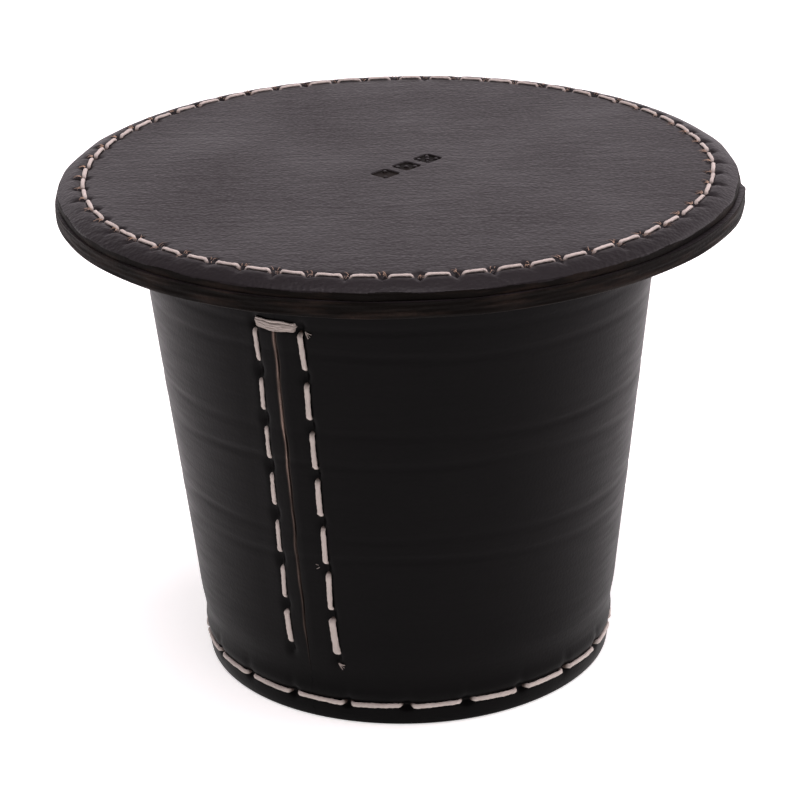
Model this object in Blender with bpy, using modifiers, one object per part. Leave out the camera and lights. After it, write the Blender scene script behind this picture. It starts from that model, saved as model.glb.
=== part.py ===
"""Leather dice cup with a lift-off lid, hand sewn with waxed thread.

The cup is a tapered strip of leather rolled to a butt seam, with a strip behind the seam,
four ribs glued round its inner face and a dished base sewn in with its flange down. The lid
is two discs sewn together, with a smaller disc under them that seats in the cup's mouth.

Frame: metres, +Z up, origin at the centre of the foot. -Y is the front.
"""

import math

import bmesh
import bpy
from mathutils import Vector

# --- The cup's leather -------------------------------------------------------------------
CUP_HEIGHT = 0.0835
MOUTH_RADIUS = 0.0454
FOOT_RADIUS = 0.0362
WALL_THICKNESS = 0.0024
RIM_CHAMFER = 0.0005

BASE_THICKNESS = 0.0024
BASE_RECESS = 0.0060
BASE_CORNER = 0.0012

RIB_COUNT = 4
RIB_LOWEST_RISE = 0.0056
RIB_HIGHEST_DROP = 0.0113
RIB_WIDTH = 0.0050
RIB_DEPTH = 0.0020
RIB_CHAMFER = 0.0008

# --- The cup's seam, left of the front ---------------------------------------------------
SEAM_ANGLE = math.radians(-117.6)
SEAM_SLIT = 0.0005
SEAM_ROW_OFFSET = 0.0042
SEAM_LAST_HOLE_RISE = 0.0051
SEAM_STITCHES = 7
BACKING_THICKNESS = 0.0016
BACKING_WIDTH = 0.0160
BACKING_TOP_CLEARANCE = 0.0015
BACKING_STEPS = 6
BAR_TACK_DROP = 0.0073
BAR_TACK_PASS_GAP = 0.0001

# --- The stitching round the foot and round the lid --------------------------------------
BASE_STITCH_HEIGHT = 0.0039
BASE_STITCHES = 22
BASE_STITCH_PHASE = math.radians(-91.1)
LID_STITCH_INSET = 0.0048
LID_STITCHES = 59
LID_STITCH_PHASE = math.radians(-86.9)

# --- The lid -----------------------------------------------------------------------------
LID_OVERHANG = 0.0136
LID_LAYER_THICKNESS = 0.0026
LID_TOP_STEP = 0.0004
LID_EDGE_DROP = 0.0006
LID_EDGE_ROLL = 0.0010
LID_BOTTOM_CHAMFER = 0.0004
LOCATING_THICKNESS = 0.0020
LOCATING_SIDE_PLAY = 0.0008
LOCATING_CHAMFER = 0.0006

# --- Thread and fits ---------------------------------------------------------------------
THREAD_RADIUS = 0.00045
THREAD_PLAY = 0.0002
THREAD_GROOVE = 0.0006
GROOVE_SHOULDER = 0.00015
STITCH_DIVE = 0.0013
LAYER_GAP = 0.0003
CUT_OVERRUN = 0.0015

ROUND_STEPS = 60
THREAD_ROUNDNESS = 1
HIDDEN_THREAD_ROUNDNESS = 0
SMOOTH_ANGLE = math.radians(35)

# --- Sizes that follow from the ones above -----------------------------------------------
INNER_FACE_DEPTH = WALL_THICKNESS + LAYER_GAP
BASE_STACK = INNER_FACE_DEPTH + BASE_THICKNESS
SEAM_STACK = INNER_FACE_DEPTH + BACKING_THICKNESS
LID_STACK = 2 * LID_LAYER_THICKNESS + LAYER_GAP
LID_TOP = LAYER_GAP + LID_STACK
LID_RADIUS = MOUTH_RADIUS + LID_OVERHANG
LID_STITCH_RADIUS = LID_RADIUS - LID_STITCH_INSET
BASE_TOP = BASE_RECESS + BASE_THICKNESS
BACKING_TOP_HEIGHT = CUP_HEIGHT - LOCATING_THICKNESS - BACKING_TOP_CLEARANCE
BAR_TACK_HEIGHT = CUP_HEIGHT - BAR_TACK_DROP
SEAM_ROW_LENGTH = BAR_TACK_HEIGHT - BASE_TOP - SEAM_LAST_HOLE_RISE
SEAM_STITCH_PITCH = SEAM_ROW_LENGTH / SEAM_STITCHES
RIB_FIRST_HEIGHT = BASE_TOP + RIB_LOWEST_RISE
RIB_SPACING = (CUP_HEIGHT - RIB_HIGHEST_DROP - RIB_FIRST_HEIGHT) / (RIB_COUNT - 1)
SLOT_HALF_WIDTH = THREAD_RADIUS + THREAD_PLAY
GROOVE_HALF_WIDTH = SLOT_HALF_WIDTH + GROOVE_SHOULDER
BAR_TACK_HALF_SPACING = THREAD_RADIUS + BAR_TACK_PASS_GAP / 2
BAR_TACK_HALF_WIDTH = BAR_TACK_HALF_SPACING + SLOT_HALF_WIDTH
SEAM_ROW_START = BAR_TACK_HALF_WIDTH + THREAD_PLAY


def clear_scene():
    for thing in list(bpy.data.objects):
        bpy.data.objects.remove(thing, do_unlink=True)


def new_collection(name):
    collection = bpy.data.collections.new(name)
    bpy.context.scene.collection.children.link(collection)
    return collection


# --- Materials ---------------------------------------------------------------------------
def new_material(name, colour, roughness):
    material = bpy.data.materials.new(name)
    material.use_nodes = True
    shader = material.node_tree.nodes["Principled BSDF"]
    shader.inputs["Base Color"].default_value = (*colour, 1.0)
    shader.inputs["Roughness"].default_value = roughness
    shader.inputs["Metallic"].default_value = 0.0
    return material


def wall_leather():
    return new_material("black_bridle_leather", (0.012, 0.012, 0.013), 0.38)


def lid_leather():
    return new_material("black_grain_leather", (0.020, 0.019, 0.019), 0.52)


def split_leather():
    return new_material("dark_split_leather", (0.030, 0.023, 0.019), 0.80)


def waxed_thread():
    return new_material("waxed_linen_thread", (0.62, 0.56, 0.50), 0.60)


# --- Places on the leather ---------------------------------------------------------------
def wall_radius(height):
    """Radius of the wall's outer face at a height."""
    return FOOT_RADIUS + (MOUTH_RADIUS - FOOT_RADIUS) * height / CUP_HEIGHT


def polar(radius, angle, height):
    return Vector((radius * math.cos(angle), radius * math.sin(angle), height))


def on_foot_ring(along, across, depth):
    """Along the foot's stitching, across it upwards, and in from the wall's outer face."""
    height = BASE_STITCH_HEIGHT + across
    angle = BASE_STITCH_PHASE + along / wall_radius(BASE_STITCH_HEIGHT)
    return polar(wall_radius(height) - depth, angle, height)


def on_lid_ring(along, across, depth):
    """Along the lid's stitching, across it outwards, and down from the lid's top face."""
    angle = LID_STITCH_PHASE + along / LID_STITCH_RADIUS
    return polar(LID_STITCH_RADIUS + across, angle, LID_TOP - depth)


def on_seam(top, offset):
    """A place function: down the wall from a height, at a distance beside the butt line."""

    def place(along, across, depth):
        height = top - along
        angle = SEAM_ANGLE + (offset + across) / wall_radius(height)
        return polar(wall_radius(height) - depth, angle, height)

    return place


def on_bar_tack(along, across, depth):
    """Along the bar tack, across it upwards, and in from the wall's outer face."""
    height = BAR_TACK_HEIGHT + across
    angle = SEAM_ANGLE + along / wall_radius(height)
    return polar(wall_radius(height) - depth, angle, height)


# --- Making solids -----------------------------------------------------------------------
def add_piece(name, mesh, material, collection, parent):
    mesh.materials.append(material)
    piece = bpy.data.objects.new(name, mesh)
    piece.parent = parent
    collection.objects.link(piece)
    return piece


def turned_piece(name, outline, ring, material, collection, parent):
    """Turn (radius, height) points about the Z axis; a ring's outline closes on itself."""
    count = len(outline)
    edges = [(i, (i + 1) % count) for i in range(count if ring else count - 1)]
    mesh = bpy.data.meshes.new(name)
    mesh.from_pydata([(radius, 0.0, height) for radius, height in outline], edges, [])
    piece = add_piece(name, mesh, material, collection, parent)
    screw = piece.modifiers.new("turned", "SCREW")
    screw.axis = "Z"
    screw.steps = ROUND_STEPS
    screw.render_steps = ROUND_STEPS
    screw.use_merge_vertices = True
    screw.merge_threshold = 0.00001
    return piece


def mapped_boxes(name, boxes, cutters, parent):
    """Cutter of one or more boxes, each a place function with its three (low, high) spans."""
    shape = bmesh.new()
    for place, spans in boxes:
        cube = bmesh.ops.create_cube(shape, size=1.0)
        for vertex in cube["verts"]:
            vertex.co = place(*[low + (c + 0.5) * (high - low) for c, (low, high) in zip(vertex.co, spans)])
    shape.normal_update()
    bmesh.ops.recalc_face_normals(shape, faces=shape.faces)
    mesh = bpy.data.meshes.new(name)
    shape.to_mesh(mesh)
    shape.free()
    cutter = bpy.data.objects.new(name, mesh)
    cutter.parent = parent
    cutter.hide_render = True
    cutter.display_type = "WIRE"
    cutters.objects.link(cutter)
    return cutter


def cut(piece, cutter):
    boolean = piece.modifiers.new(cutter.name, "BOOLEAN")
    boolean.operation = "DIFFERENCE"
    boolean.solver = "EXACT"
    boolean.object = cutter


def settle(piece):
    """Turn a piece's modifiers into its mesh, smooth with sharp corners."""
    evaluated = piece.evaluated_get(bpy.context.evaluated_depsgraph_get())
    mesh = bpy.data.meshes.new_from_object(evaluated)
    piece.modifiers.clear()
    piece.data = mesh
    mesh.name = piece.name
    mesh.shade_smooth()
    mesh.set_sharp_from_angle(angle=SMOOTH_ANGLE)


# --- Stitching ---------------------------------------------------------------------------
def crest_depth(stack, face, outer):
    """Depth of the thread's centre where it lies on the leather, on the outer or inner face."""
    lift = THREAD_RADIUS + THREAD_PLAY
    return face - lift if outer else stack + lift


def loop_depth(stack, outer):
    """Depth of the thread's centre where the two threads meet halfway through a hole."""
    lead = THREAD_RADIUS + THREAD_PLAY / 2
    return stack / 2 - lead if outer else stack / 2 + lead


def slot_half_length(stack, face, outer):
    """Half a hole's length along the stitching, so that the slanting thread clears its end."""
    lift = THREAD_RADIUS + THREAD_PLAY
    rise = abs(loop_depth(stack, outer) - crest_depth(stack, face, outer))
    slope = math.hypot(STITCH_DIVE, rise)
    return STITCH_DIVE + (lift * slope - lift * STITCH_DIVE) / rise


def both_slot_half_length(stack):
    """Half a hole's length that clears both the outer and the inner thread."""
    return max(slot_half_length(stack, THREAD_GROOVE, True), slot_half_length(stack, stack, False))


def slot_spans(stack, hole):
    """Spans of one hole: along the stitching, across it and through the leather."""
    half = both_slot_half_length(stack)
    across = (-SLOT_HALF_WIDTH, SLOT_HALF_WIDTH)
    return ((hole - half, hole + half), across, (-CUT_OVERRUN, stack + CUT_OVERRUN))


def stitch_path(place, holes, stack, outer, closed):
    """Thread points: down to a loop in each hole, and up to a crest on either side of it.

    A row that isn't closed starts on the leather, where the bar tack ends.
    """
    crest = crest_depth(stack, THREAD_GROOVE, outer)
    loop = loop_depth(stack, outer)
    points = [] if closed else [place(SEAM_ROW_START, 0.0, crest)]
    for number, hole in enumerate(holes):
        points.append(place(hole - STITCH_DIVE, 0.0, crest))
        points.append(place(hole, 0.0, loop))
        if closed or number < len(holes) - 1:
            points.append(place(hole + STITCH_DIVE, 0.0, crest))
    return points


def thread(name, points, closed, roundness, material, collection, parent):
    """Round thread along its points."""
    curve = bpy.data.curves.new(name, "CURVE")
    curve.dimensions = "3D"
    spline = curve.splines.new("POLY")
    spline.points.add(len(points) - 1)
    for target, point in zip(spline.points, points):
        target.co = (*point, 1.0)
    spline.use_cyclic_u = closed
    curve.bevel_depth = THREAD_RADIUS
    curve.bevel_resolution = roundness
    curve.use_fill_caps = True
    return add_piece(name, curve, material, collection, parent)


def thread_pair(name, sides, place, holes, stack, closed, linen, collection, parent):
    """A lockstitch's two threads, on the leather's outer face and on its inner face."""
    for side, outer, roundness in zip(sides, (True, False), (THREAD_ROUNDNESS, HIDDEN_THREAD_ROUNDNESS)):
        path = stitch_path(place, holes, stack, outer, closed)
        thread(f"{name}_{side}", path, closed, roundness, linen, collection, parent)


def ring_holes(count, radius):
    """Places of evenly spaced holes along a ring."""
    return [2 * math.pi * radius * number / count for number in range(count)]


# --- The cup -----------------------------------------------------------------------------
def cup_wall(leather, collection, parent):
    """Tapered tube with its rim's corners eased and a groove for the foot's stitching."""
    low = BASE_STITCH_HEIGHT - GROOVE_HALF_WIDTH
    high = BASE_STITCH_HEIGHT + GROOVE_HALF_WIDTH
    rim = CUP_HEIGHT - RIM_CHAMFER
    outline = [
        (MOUTH_RADIUS - RIM_CHAMFER, CUP_HEIGHT),
        (wall_radius(rim), rim),
        (wall_radius(high), high),
        (wall_radius(high) - THREAD_GROOVE, high),
        (wall_radius(low) - THREAD_GROOVE, low),
        (wall_radius(low), low),
        (FOOT_RADIUS, 0.0),
        (FOOT_RADIUS - WALL_THICKNESS, 0.0),
        (wall_radius(rim) - WALL_THICKNESS, rim),
        (MOUTH_RADIUS - WALL_THICKNESS + RIM_CHAMFER, CUP_HEIGHT),
    ]
    return turned_piece("cup_wall", outline, True, leather, collection, parent)


def cup_base(leather, collection, parent):
    """Dish with its flange down, inside the wall's foot."""

    def flange(height, depth=0.0):
        return (wall_radius(height) - INNER_FACE_DEPTH - depth, height)

    corner_radius, corner_height = flange(BASE_TOP - BASE_CORNER)
    outline = [
        (0.0, BASE_TOP),
        (corner_radius - BASE_CORNER, BASE_TOP),
        (corner_radius, corner_height),
        flange(0.0),
        flange(0.0, BASE_THICKNESS),
        flange(BASE_RECESS, BASE_THICKNESS),
        (0.0, BASE_RECESS),
    ]
    return turned_piece("cup_base", outline, False, leather, collection, parent)


def inner_rib(number, leather, collection, parent):
    """Rib against the wall's inner face, its inner corners eased."""
    middle = RIB_FIRST_HEIGHT + number * RIB_SPACING
    high = middle + RIB_WIDTH / 2
    low = middle - RIB_WIDTH / 2
    outline = [
        (wall_radius(high) - INNER_FACE_DEPTH, high),
        (wall_radius(low) - INNER_FACE_DEPTH, low),
        (wall_radius(low) - INNER_FACE_DEPTH - RIB_DEPTH, low + RIB_CHAMFER),
        (wall_radius(high) - INNER_FACE_DEPTH - RIB_DEPTH, high - RIB_CHAMFER),
    ]
    return turned_piece(f"inner_rib_{number + 1}", outline, True, leather, collection, parent)


def seam_backing_strip(leather, collection, parent):
    """Strip behind the butt seam, from the base up to just below the lid's seat."""
    bottom = BASE_TOP + LAYER_GAP
    place = on_seam(BACKING_TOP_HEIGHT, 0.0)
    columns = [BACKING_WIDTH * (step / BACKING_STEPS - 0.5) for step in range(BACKING_STEPS + 1)]
    rows = (0.0, BACKING_TOP_HEIGHT - bottom)
    points = [place(row, column, INNER_FACE_DEPTH) for row in rows for column in columns]
    above = len(columns)
    faces = [(i, i + above, i + above + 1, i + 1) for i in range(BACKING_STEPS)]
    mesh = bpy.data.meshes.new("seam_backing_strip")
    mesh.from_pydata(points, [], faces)
    piece = add_piece("seam_backing_strip", mesh, leather, collection, parent)
    shell = piece.modifiers.new("thickness", "SOLIDIFY")
    shell.thickness = BACKING_THICKNESS
    shell.offset = -1.0
    return piece


def open_seam(wall, ribs, cutters, frame):
    """Cut the butt line's slit, and the room that the ribs leave for the backing strip."""
    down_the_wall = on_seam(CUP_HEIGHT, 0.0)
    whole = (-CUT_OVERRUN, CUP_HEIGHT + CUT_OVERRUN)
    slit_width = (-SEAM_SLIT / 2, SEAM_SLIT / 2)
    slit_spans = (whole, slit_width, (-CUT_OVERRUN, WALL_THICKNESS + CUT_OVERRUN))
    cut(wall, mapped_boxes("butt_slit", [(down_the_wall, slit_spans)], cutters, frame))
    room_half = BACKING_WIDTH / 2 + LAYER_GAP
    room_spans = (whole, (-room_half, room_half), (0.0, INNER_FACE_DEPTH + RIB_DEPTH + CUT_OVERRUN))
    room = mapped_boxes("backing_room", [(down_the_wall, room_spans)], cutters, frame)
    for rib in ribs:
        cut(rib, room)


def sew_foot(wall, base, linen, collection, cutters, frame):
    """Stitching round the foot, through the wall and the base's flange."""
    holes = ring_holes(BASE_STITCHES, wall_radius(BASE_STITCH_HEIGHT))
    boxes = [(on_foot_ring, slot_spans(BASE_STACK, hole)) for hole in holes]
    slots = mapped_boxes("foot_holes", boxes, cutters, frame)
    cut(wall, slots)
    cut(base, slots)
    sides = ("outer", "inner")
    thread_pair("foot_thread", sides, on_foot_ring, holes, BASE_STACK, True, linen, collection, frame)


def sew_seam(wall, backing, linen, collection, cutters, frame):
    """Two rows of stitching beside the butt line, through the wall and the backing strip."""
    holes = [(number + 1) * SEAM_STITCH_PITCH for number in range(SEAM_STITCHES)]
    groove_width = (-GROOVE_HALF_WIDTH, GROOVE_HALF_WIDTH)
    groove_spans = ((0.0, SEAM_ROW_LENGTH), groove_width, (-CUT_OVERRUN, THREAD_GROOVE))
    sides = ("outer", "inner")
    for row, offset in (("left", -SEAM_ROW_OFFSET), ("right", SEAM_ROW_OFFSET)):
        place = on_seam(BAR_TACK_HEIGHT, offset)
        cut(wall, mapped_boxes(f"seam_groove_{row}", [(place, groove_spans)], cutters, frame))
        boxes = [(place, slot_spans(SEAM_STACK, hole)) for hole in holes]
        slots = mapped_boxes(f"seam_holes_{row}", boxes, cutters, frame)
        cut(wall, slots)
        cut(backing, slots)
        name = f"seam_thread_{row}"
        thread_pair(name, sides, place, holes, SEAM_STACK, False, linen, collection, frame)


def build_cup(leather, split, linen, collection, cutters):
    frame = bpy.data.objects.new("cup_foot_centre", None)
    collection.objects.link(frame)
    wall = cup_wall(leather, collection, frame)
    base = cup_base(leather, collection, frame)
    backing = seam_backing_strip(split, collection, frame)
    ribs = [inner_rib(number, split, collection, frame) for number in range(RIB_COUNT)]
    open_seam(wall, ribs, cutters, frame)
    sew_foot(wall, base, linen, collection, cutters, frame)
    sew_seam(wall, backing, linen, collection, cutters, frame)
    sew_bar_tack(wall, linen, collection, cutters, frame)
    for piece in (wall, base, backing, *ribs):
        settle(piece)


def sew_bar_tack(wall, linen, collection, cutters, parent):
    """Two passes of thread across the seam's top, diving into a hole at either end."""
    half_spacing = BAR_TACK_HALF_SPACING
    half_length = slot_half_length(SEAM_STACK, 0.0, True)
    boxes = []
    for end in (-SEAM_ROW_OFFSET, SEAM_ROW_OFFSET):
        spans = (
            (end - half_length, end + half_length),
            (-BAR_TACK_HALF_WIDTH, BAR_TACK_HALF_WIDTH),
            (-CUT_OVERRUN, WALL_THICKNESS + CUT_OVERRUN),
        )
        boxes.append((on_bar_tack, spans))
    cut(wall, mapped_boxes("bar_tack_holes", boxes, cutters, parent))
    crest = crest_depth(SEAM_STACK, 0.0, True)
    loop = loop_depth(SEAM_STACK, True)
    inset = SEAM_ROW_OFFSET - STITCH_DIVE
    points = [
        on_bar_tack(-SEAM_ROW_OFFSET, half_spacing, loop),
        on_bar_tack(-inset, half_spacing, crest),
        on_bar_tack(inset, half_spacing, crest),
        on_bar_tack(SEAM_ROW_OFFSET, half_spacing, loop),
        on_bar_tack(SEAM_ROW_OFFSET, -half_spacing, loop),
        on_bar_tack(inset, -half_spacing, crest),
        on_bar_tack(-inset, -half_spacing, crest),
        on_bar_tack(-SEAM_ROW_OFFSET, -half_spacing, loop),
    ]
    thread("seam_bar_tack", points, False, THREAD_ROUNDNESS, linen, collection, parent)


# --- The lid -----------------------------------------------------------------------------
def lid_top_disc(leather, collection, parent):
    """Disc with a groove for the stitching, and its edge pressed down and rolled over."""
    radius = LID_RADIUS - LID_TOP_STEP
    bottom = LID_TOP - LID_LAYER_THICKNESS
    roll = [
        (
            radius - LID_EDGE_ROLL * (1 - math.sin(turn)),
            LID_TOP - LID_EDGE_DROP - LID_EDGE_ROLL * (1 - math.cos(turn)),
        )
        for turn in (0.0, math.pi / 4, math.pi / 2)
    ]
    outline = [
        (0.0, LID_TOP),
        (LID_STITCH_RADIUS - GROOVE_HALF_WIDTH, LID_TOP),
        (LID_STITCH_RADIUS - GROOVE_HALF_WIDTH, LID_TOP - THREAD_GROOVE),
        (LID_STITCH_RADIUS + GROOVE_HALF_WIDTH, LID_TOP - THREAD_GROOVE),
        (LID_STITCH_RADIUS + GROOVE_HALF_WIDTH, LID_TOP),
        *roll,
        (radius, bottom),
        (0.0, bottom),
    ]
    return turned_piece("lid_top_disc", outline, False, leather, collection, parent)


def lid_bottom_disc(leather, collection, parent):
    """Disc whose lower corner is eased; it rests on the cup's rim."""
    top = LAYER_GAP + LID_LAYER_THICKNESS
    outline = [
        (0.0, top),
        (LID_RADIUS, top),
        (LID_RADIUS, LAYER_GAP + LID_BOTTOM_CHAMFER),
        (LID_RADIUS - LID_BOTTOM_CHAMFER, LAYER_GAP),
        (0.0, LAYER_GAP),
    ]
    return turned_piece("lid_bottom_disc", outline, False, leather, collection, parent)


def lid_locating_disc(leather, collection, parent):
    """Smaller disc glued under the lid, which seats inside the cup's mouth."""
    bottom = -LOCATING_THICKNESS
    radius = wall_radius(CUP_HEIGHT + bottom) - WALL_THICKNESS - LOCATING_SIDE_PLAY
    outline = [
        (0.0, 0.0),
        (radius, 0.0),
        (radius, bottom + LOCATING_CHAMFER),
        (radius - LOCATING_CHAMFER, bottom),
        (0.0, bottom),
    ]
    return turned_piece("lid_locating_disc", outline, False, leather, collection, parent)


def build_lid(leather, split, linen, collection, cutters):
    seat = bpy.data.objects.new("lid_seat", None)
    seat.location = (0.0, 0.0, CUP_HEIGHT)
    collection.objects.link(seat)

    top = lid_top_disc(leather, collection, seat)
    bottom = lid_bottom_disc(leather, collection, seat)
    locating = lid_locating_disc(split, collection, seat)

    holes = ring_holes(LID_STITCHES, LID_STITCH_RADIUS)
    boxes = [(on_lid_ring, slot_spans(LID_STACK, hole)) for hole in holes]
    slots = mapped_boxes("lid_holes", boxes, cutters, seat)
    cut(top, slots)
    cut(bottom, slots)
    sides = ("upper", "lower")
    thread_pair("lid_thread", sides, on_lid_ring, holes, LID_STACK, True, linen, collection, seat)
    for piece in (top, bottom, locating):
        settle(piece)


def main():
    clear_scene()
    parts = new_collection("leather_dice_cup")
    cutters = new_collection("cutters")
    split = split_leather()
    linen = waxed_thread()
    build_cup(wall_leather(), split, linen, parts, cutters)
    build_lid(lid_leather(), split, linen, parts, cutters)


main()
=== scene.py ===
"""Surfaces, thread and leather finishes for a lidded, hand-sewn leather dice cup.

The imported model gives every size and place, in metres, +Z up, origin at the centre of the
foot, -Y the front. Each operator makes one piece of the cup, or one group of like pieces.
"""

import math
from collections import namedtuple

import bpy
import numpy as np
from mathutils import Matrix, Vector


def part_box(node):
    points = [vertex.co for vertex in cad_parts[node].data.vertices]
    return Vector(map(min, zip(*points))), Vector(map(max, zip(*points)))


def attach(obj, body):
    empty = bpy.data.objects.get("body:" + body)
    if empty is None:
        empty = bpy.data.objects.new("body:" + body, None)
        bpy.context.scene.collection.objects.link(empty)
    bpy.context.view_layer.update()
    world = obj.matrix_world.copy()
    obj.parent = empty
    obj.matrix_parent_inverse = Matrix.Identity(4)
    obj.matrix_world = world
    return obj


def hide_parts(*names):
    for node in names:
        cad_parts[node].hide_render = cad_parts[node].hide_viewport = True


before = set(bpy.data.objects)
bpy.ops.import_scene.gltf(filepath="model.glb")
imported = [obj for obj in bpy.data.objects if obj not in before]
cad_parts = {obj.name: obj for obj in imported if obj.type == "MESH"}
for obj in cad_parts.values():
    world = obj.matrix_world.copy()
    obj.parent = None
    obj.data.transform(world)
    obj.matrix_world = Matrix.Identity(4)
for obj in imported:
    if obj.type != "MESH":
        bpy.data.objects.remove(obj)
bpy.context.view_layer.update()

bl_info = {
    "name": "Leather Dice Cup",
    "version": (1, 0, 0),
    "blender": (4, 5, 0),
    "location": "View3D > Sidebar > Dice Cup",
    "description": "Builds the leather, the stitching and the lid of a hand-sewn dice cup",
    "category": "Add Mesh",
}

MM = 0.001
SEED = 59

# --- Stitching: counts and phases as the leather was pricked ------------------------------
FOOT_STITCHES = 22
FOOT_PHASE = math.radians(-91.1)
LID_STITCHES = 59
LID_PHASE = math.radians(-86.9)
SEAM_ANGLE = math.radians(-117.6)
SEAM_STITCHES = 7
SEAM_OFFSET = 4.2 * MM
BUTT_GAP = 0.34 * MM

# --- Camera and light ---------------------------------------------------------------------
CAMERA_LENS = 132.69
CAMERA_SENSOR = 36.0
CAMERA_AIM = Vector((-0.63 * MM, 0.0, 45.75 * MM))
CAMERA_DISTANCE = 525.8 * MM
CAMERA_ELEVATION = math.radians(22.649)
CAMERA_ROLL = math.radians(-1.456)


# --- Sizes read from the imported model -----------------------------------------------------
def corner_points(node):
    """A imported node's corner points, one to a row."""
    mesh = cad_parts[node].data
    flat = np.zeros(len(mesh.vertices) * 3)
    mesh.vertices.foreach_get("co", flat)
    return flat.reshape(-1, 3)


def radii_and_heights(node):
    points = corner_points(node)
    return np.hypot(points[:, 0], points[:, 1]), points[:, 2]


wall_radii, wall_heights = radii_and_heights("cup_wall")
CUP_HEIGHT = float(wall_heights.max())
FOOT_RADIUS = float(wall_radii[wall_heights < 0.01 * MM].max())
FOOT_INNER_RADIUS = float(wall_radii[wall_heights < 0.01 * MM].min())
WALL_THICKNESS = FOOT_RADIUS - FOOT_INNER_RADIUS
widest = int(wall_radii.argmax())
WALL_SLOPE = float((wall_radii[widest] - FOOT_RADIUS) / wall_heights[widest])

base_radii, base_heights = radii_and_heights("cup_base")
BASE_TOP = float(base_heights.max())
BASE_OUTER_RADIUS = float(base_radii[base_heights < 0.01 * MM].max())
BASE_INNER_RADIUS = float(base_radii[base_heights < 0.01 * MM].min())
BASE_THICKNESS = BASE_OUTER_RADIUS - BASE_INNER_RADIUS

LID_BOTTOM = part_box("lid_bottom_disc")[0].z
LID_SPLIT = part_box("lid_bottom_disc")[1].z
LID_TOP_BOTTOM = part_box("lid_top_disc")[0].z
LID_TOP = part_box("lid_top_disc")[1].z
LID_RADIUS = float(radii_and_heights("lid_bottom_disc")[0].max())
LID_TOP_RADIUS = float(radii_and_heights("lid_top_disc")[0].max())
THREAD_RADIUS = 0.45 * MM
LID_STITCH_RADIUS = float(radii_and_heights("lid_thread_upper")[0].max()) - THREAD_RADIUS
FOOT_STITCH_HEIGHT = sum(corner[2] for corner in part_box("foot_thread_outer")) / 2
TACK_HEIGHT = sum(corner[2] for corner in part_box("seam_bar_tack")) / 2
SEAM_LAST_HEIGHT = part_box("seam_thread_left_outer")[0].z + THREAD_RADIUS
SEAM_PITCH = (TACK_HEIGHT - SEAM_LAST_HEIGHT) / SEAM_STITCHES
LAYER_GAP = LID_TOP_BOTTOM - LID_SPLIT
LID_STACK = LID_TOP - LID_BOTTOM
FOOT_STACK = FOOT_RADIUS - BASE_INNER_RADIUS
BACKING_THICKNESS = 1.6 * MM
BACKING_WIDTH = 16.0 * MM
SEAM_STACK = WALL_THICKNESS + LAYER_GAP + BACKING_THICKNESS


# --- Colours ------------------------------------------------------------------------------
def linear(code):
    """An sRGB hex colour such as #808080 as linear red, green and blue."""
    shares = [int(code[i : i + 2], 16) / 255 for i in (1, 3, 5)]
    return [c / 12.92 if c <= 0.04045 else ((c + 0.055) / 1.055) ** 2.4 for c in shares]


def colour_choice(name, description, code):
    return bpy.props.FloatVectorProperty(
        name=name,
        description=description,
        subtype="COLOR",
        size=3,
        min=0.0,
        max=1.0,
        default=linear(code),
    )


def length_choice(name, description, default):
    return bpy.props.FloatProperty(
        name=name, description=description, default=default, min=0.0, precision=5, unit="LENGTH"
    )


class DiceCupSizes(bpy.types.PropertyGroup):
    """Sizes of the leather's and the thread's surface detail."""

    ply_turn: length_choice("Ply turn", "Length of one turn of the twisted thread", 3.0 * MM)
    thread_valley: length_choice("Thread valley", "How deep a stitch pulls the leather in", 0.32 * MM)
    hole_dimple: length_choice("Hole dimple", "How deep the leather dips at an awl hole", 0.55 * MM)
    ring_crease: length_choice("Ring crease", "How deep the creases over the ribs are", 0.17 * MM)
    radial_crease: length_choice("Radial crease", "Depth of the creases at the lid's holes", 0.55 * MM)
    stamp_depth: length_choice("Stamp depth", "Depth of the three dice faces in the lid", 0.30 * MM)
    fibre_length: length_choice("Fibre length", "Length of the fibres drawn up by the needle", 1.5 * MM)


class DiceCupColours(bpy.types.PropertyGroup):
    """Colours of the leathers, the thread and the floor."""

    wall: colour_choice("Wall", "Waxed black of the cup's grain side", "#020202")
    wall_worn: colour_choice("Wall, handled", "Greyer black where the wall was handled", "#060505")
    lid: colour_choice("Lid", "Dyed black of the lid's grain side", "#110e10")
    lid_worn: colour_choice("Lid, handled", "Warmer black where the lid was handled", "#1d181a")
    edge: colour_choice("Cut edge", "Dyed and burnished cut edge", "#0b0806")
    edge_streak: colour_choice("Edge streak", "Fibre layers that took less dye", "#352a24")
    raw_edge: colour_choice("Raw edge", "Undyed leather in the butt line", "#a58f83")
    flesh: colour_choice("Flesh side", "Nap of the flesh side inside the cup", "#2a211c")
    flesh_light: colour_choice("Flesh nap", "Lighter ends of the nap", "#4a3a30")
    thread: colour_choice("Thread", "Off-white waxed linen", "#bfb5ad")
    # Dark end of the thread: where it goes down into its holes, random stains, and painted shade along the
    # seam
    thread_soiled_and_shaded: colour_choice("Thread, soiled", "Dye and wax on the thread at the holes", "#4a3b33")
    fibre: colour_choice("Leather fibre", "Undyed tan fibres at the holes", "#b08f72")
    floor: colour_choice("Floor", "Pale paper floor", "#f4f3f2")


# --- Surfaces -----------------------------------------------------------------------------
def smooth_step(low, high, value):
    """0 below low, 1 above high, and 3t^2 - 2t^3 between them."""
    share = np.clip((value - low) / (high - low), 0.0, 1.0)
    return share * share * (3.0 - 2.0 * share)


def bell(value, width):
    """A bump of height 1: e to the power of minus (value / width) squared."""
    return np.exp(-((value / width) ** 2))


def ripple(phase_seed, counts, *coordinates):
    """A smooth unevenness between -1 and 1: the mean of sines of sums of the coordinates.

    Each coordinate has one count for every sine, and each sine has its own seeded phase.
    """
    phases = np.random.default_rng(phase_seed).uniform(0.0, 2.0 * math.pi, len(counts))
    waves = [
        np.sin(sum(rate * c for rate, c in zip(rates, coordinates)) + phase)
        for rates, phase in zip(counts, phases)
    ]
    return sum(waves) / len(counts)


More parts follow.
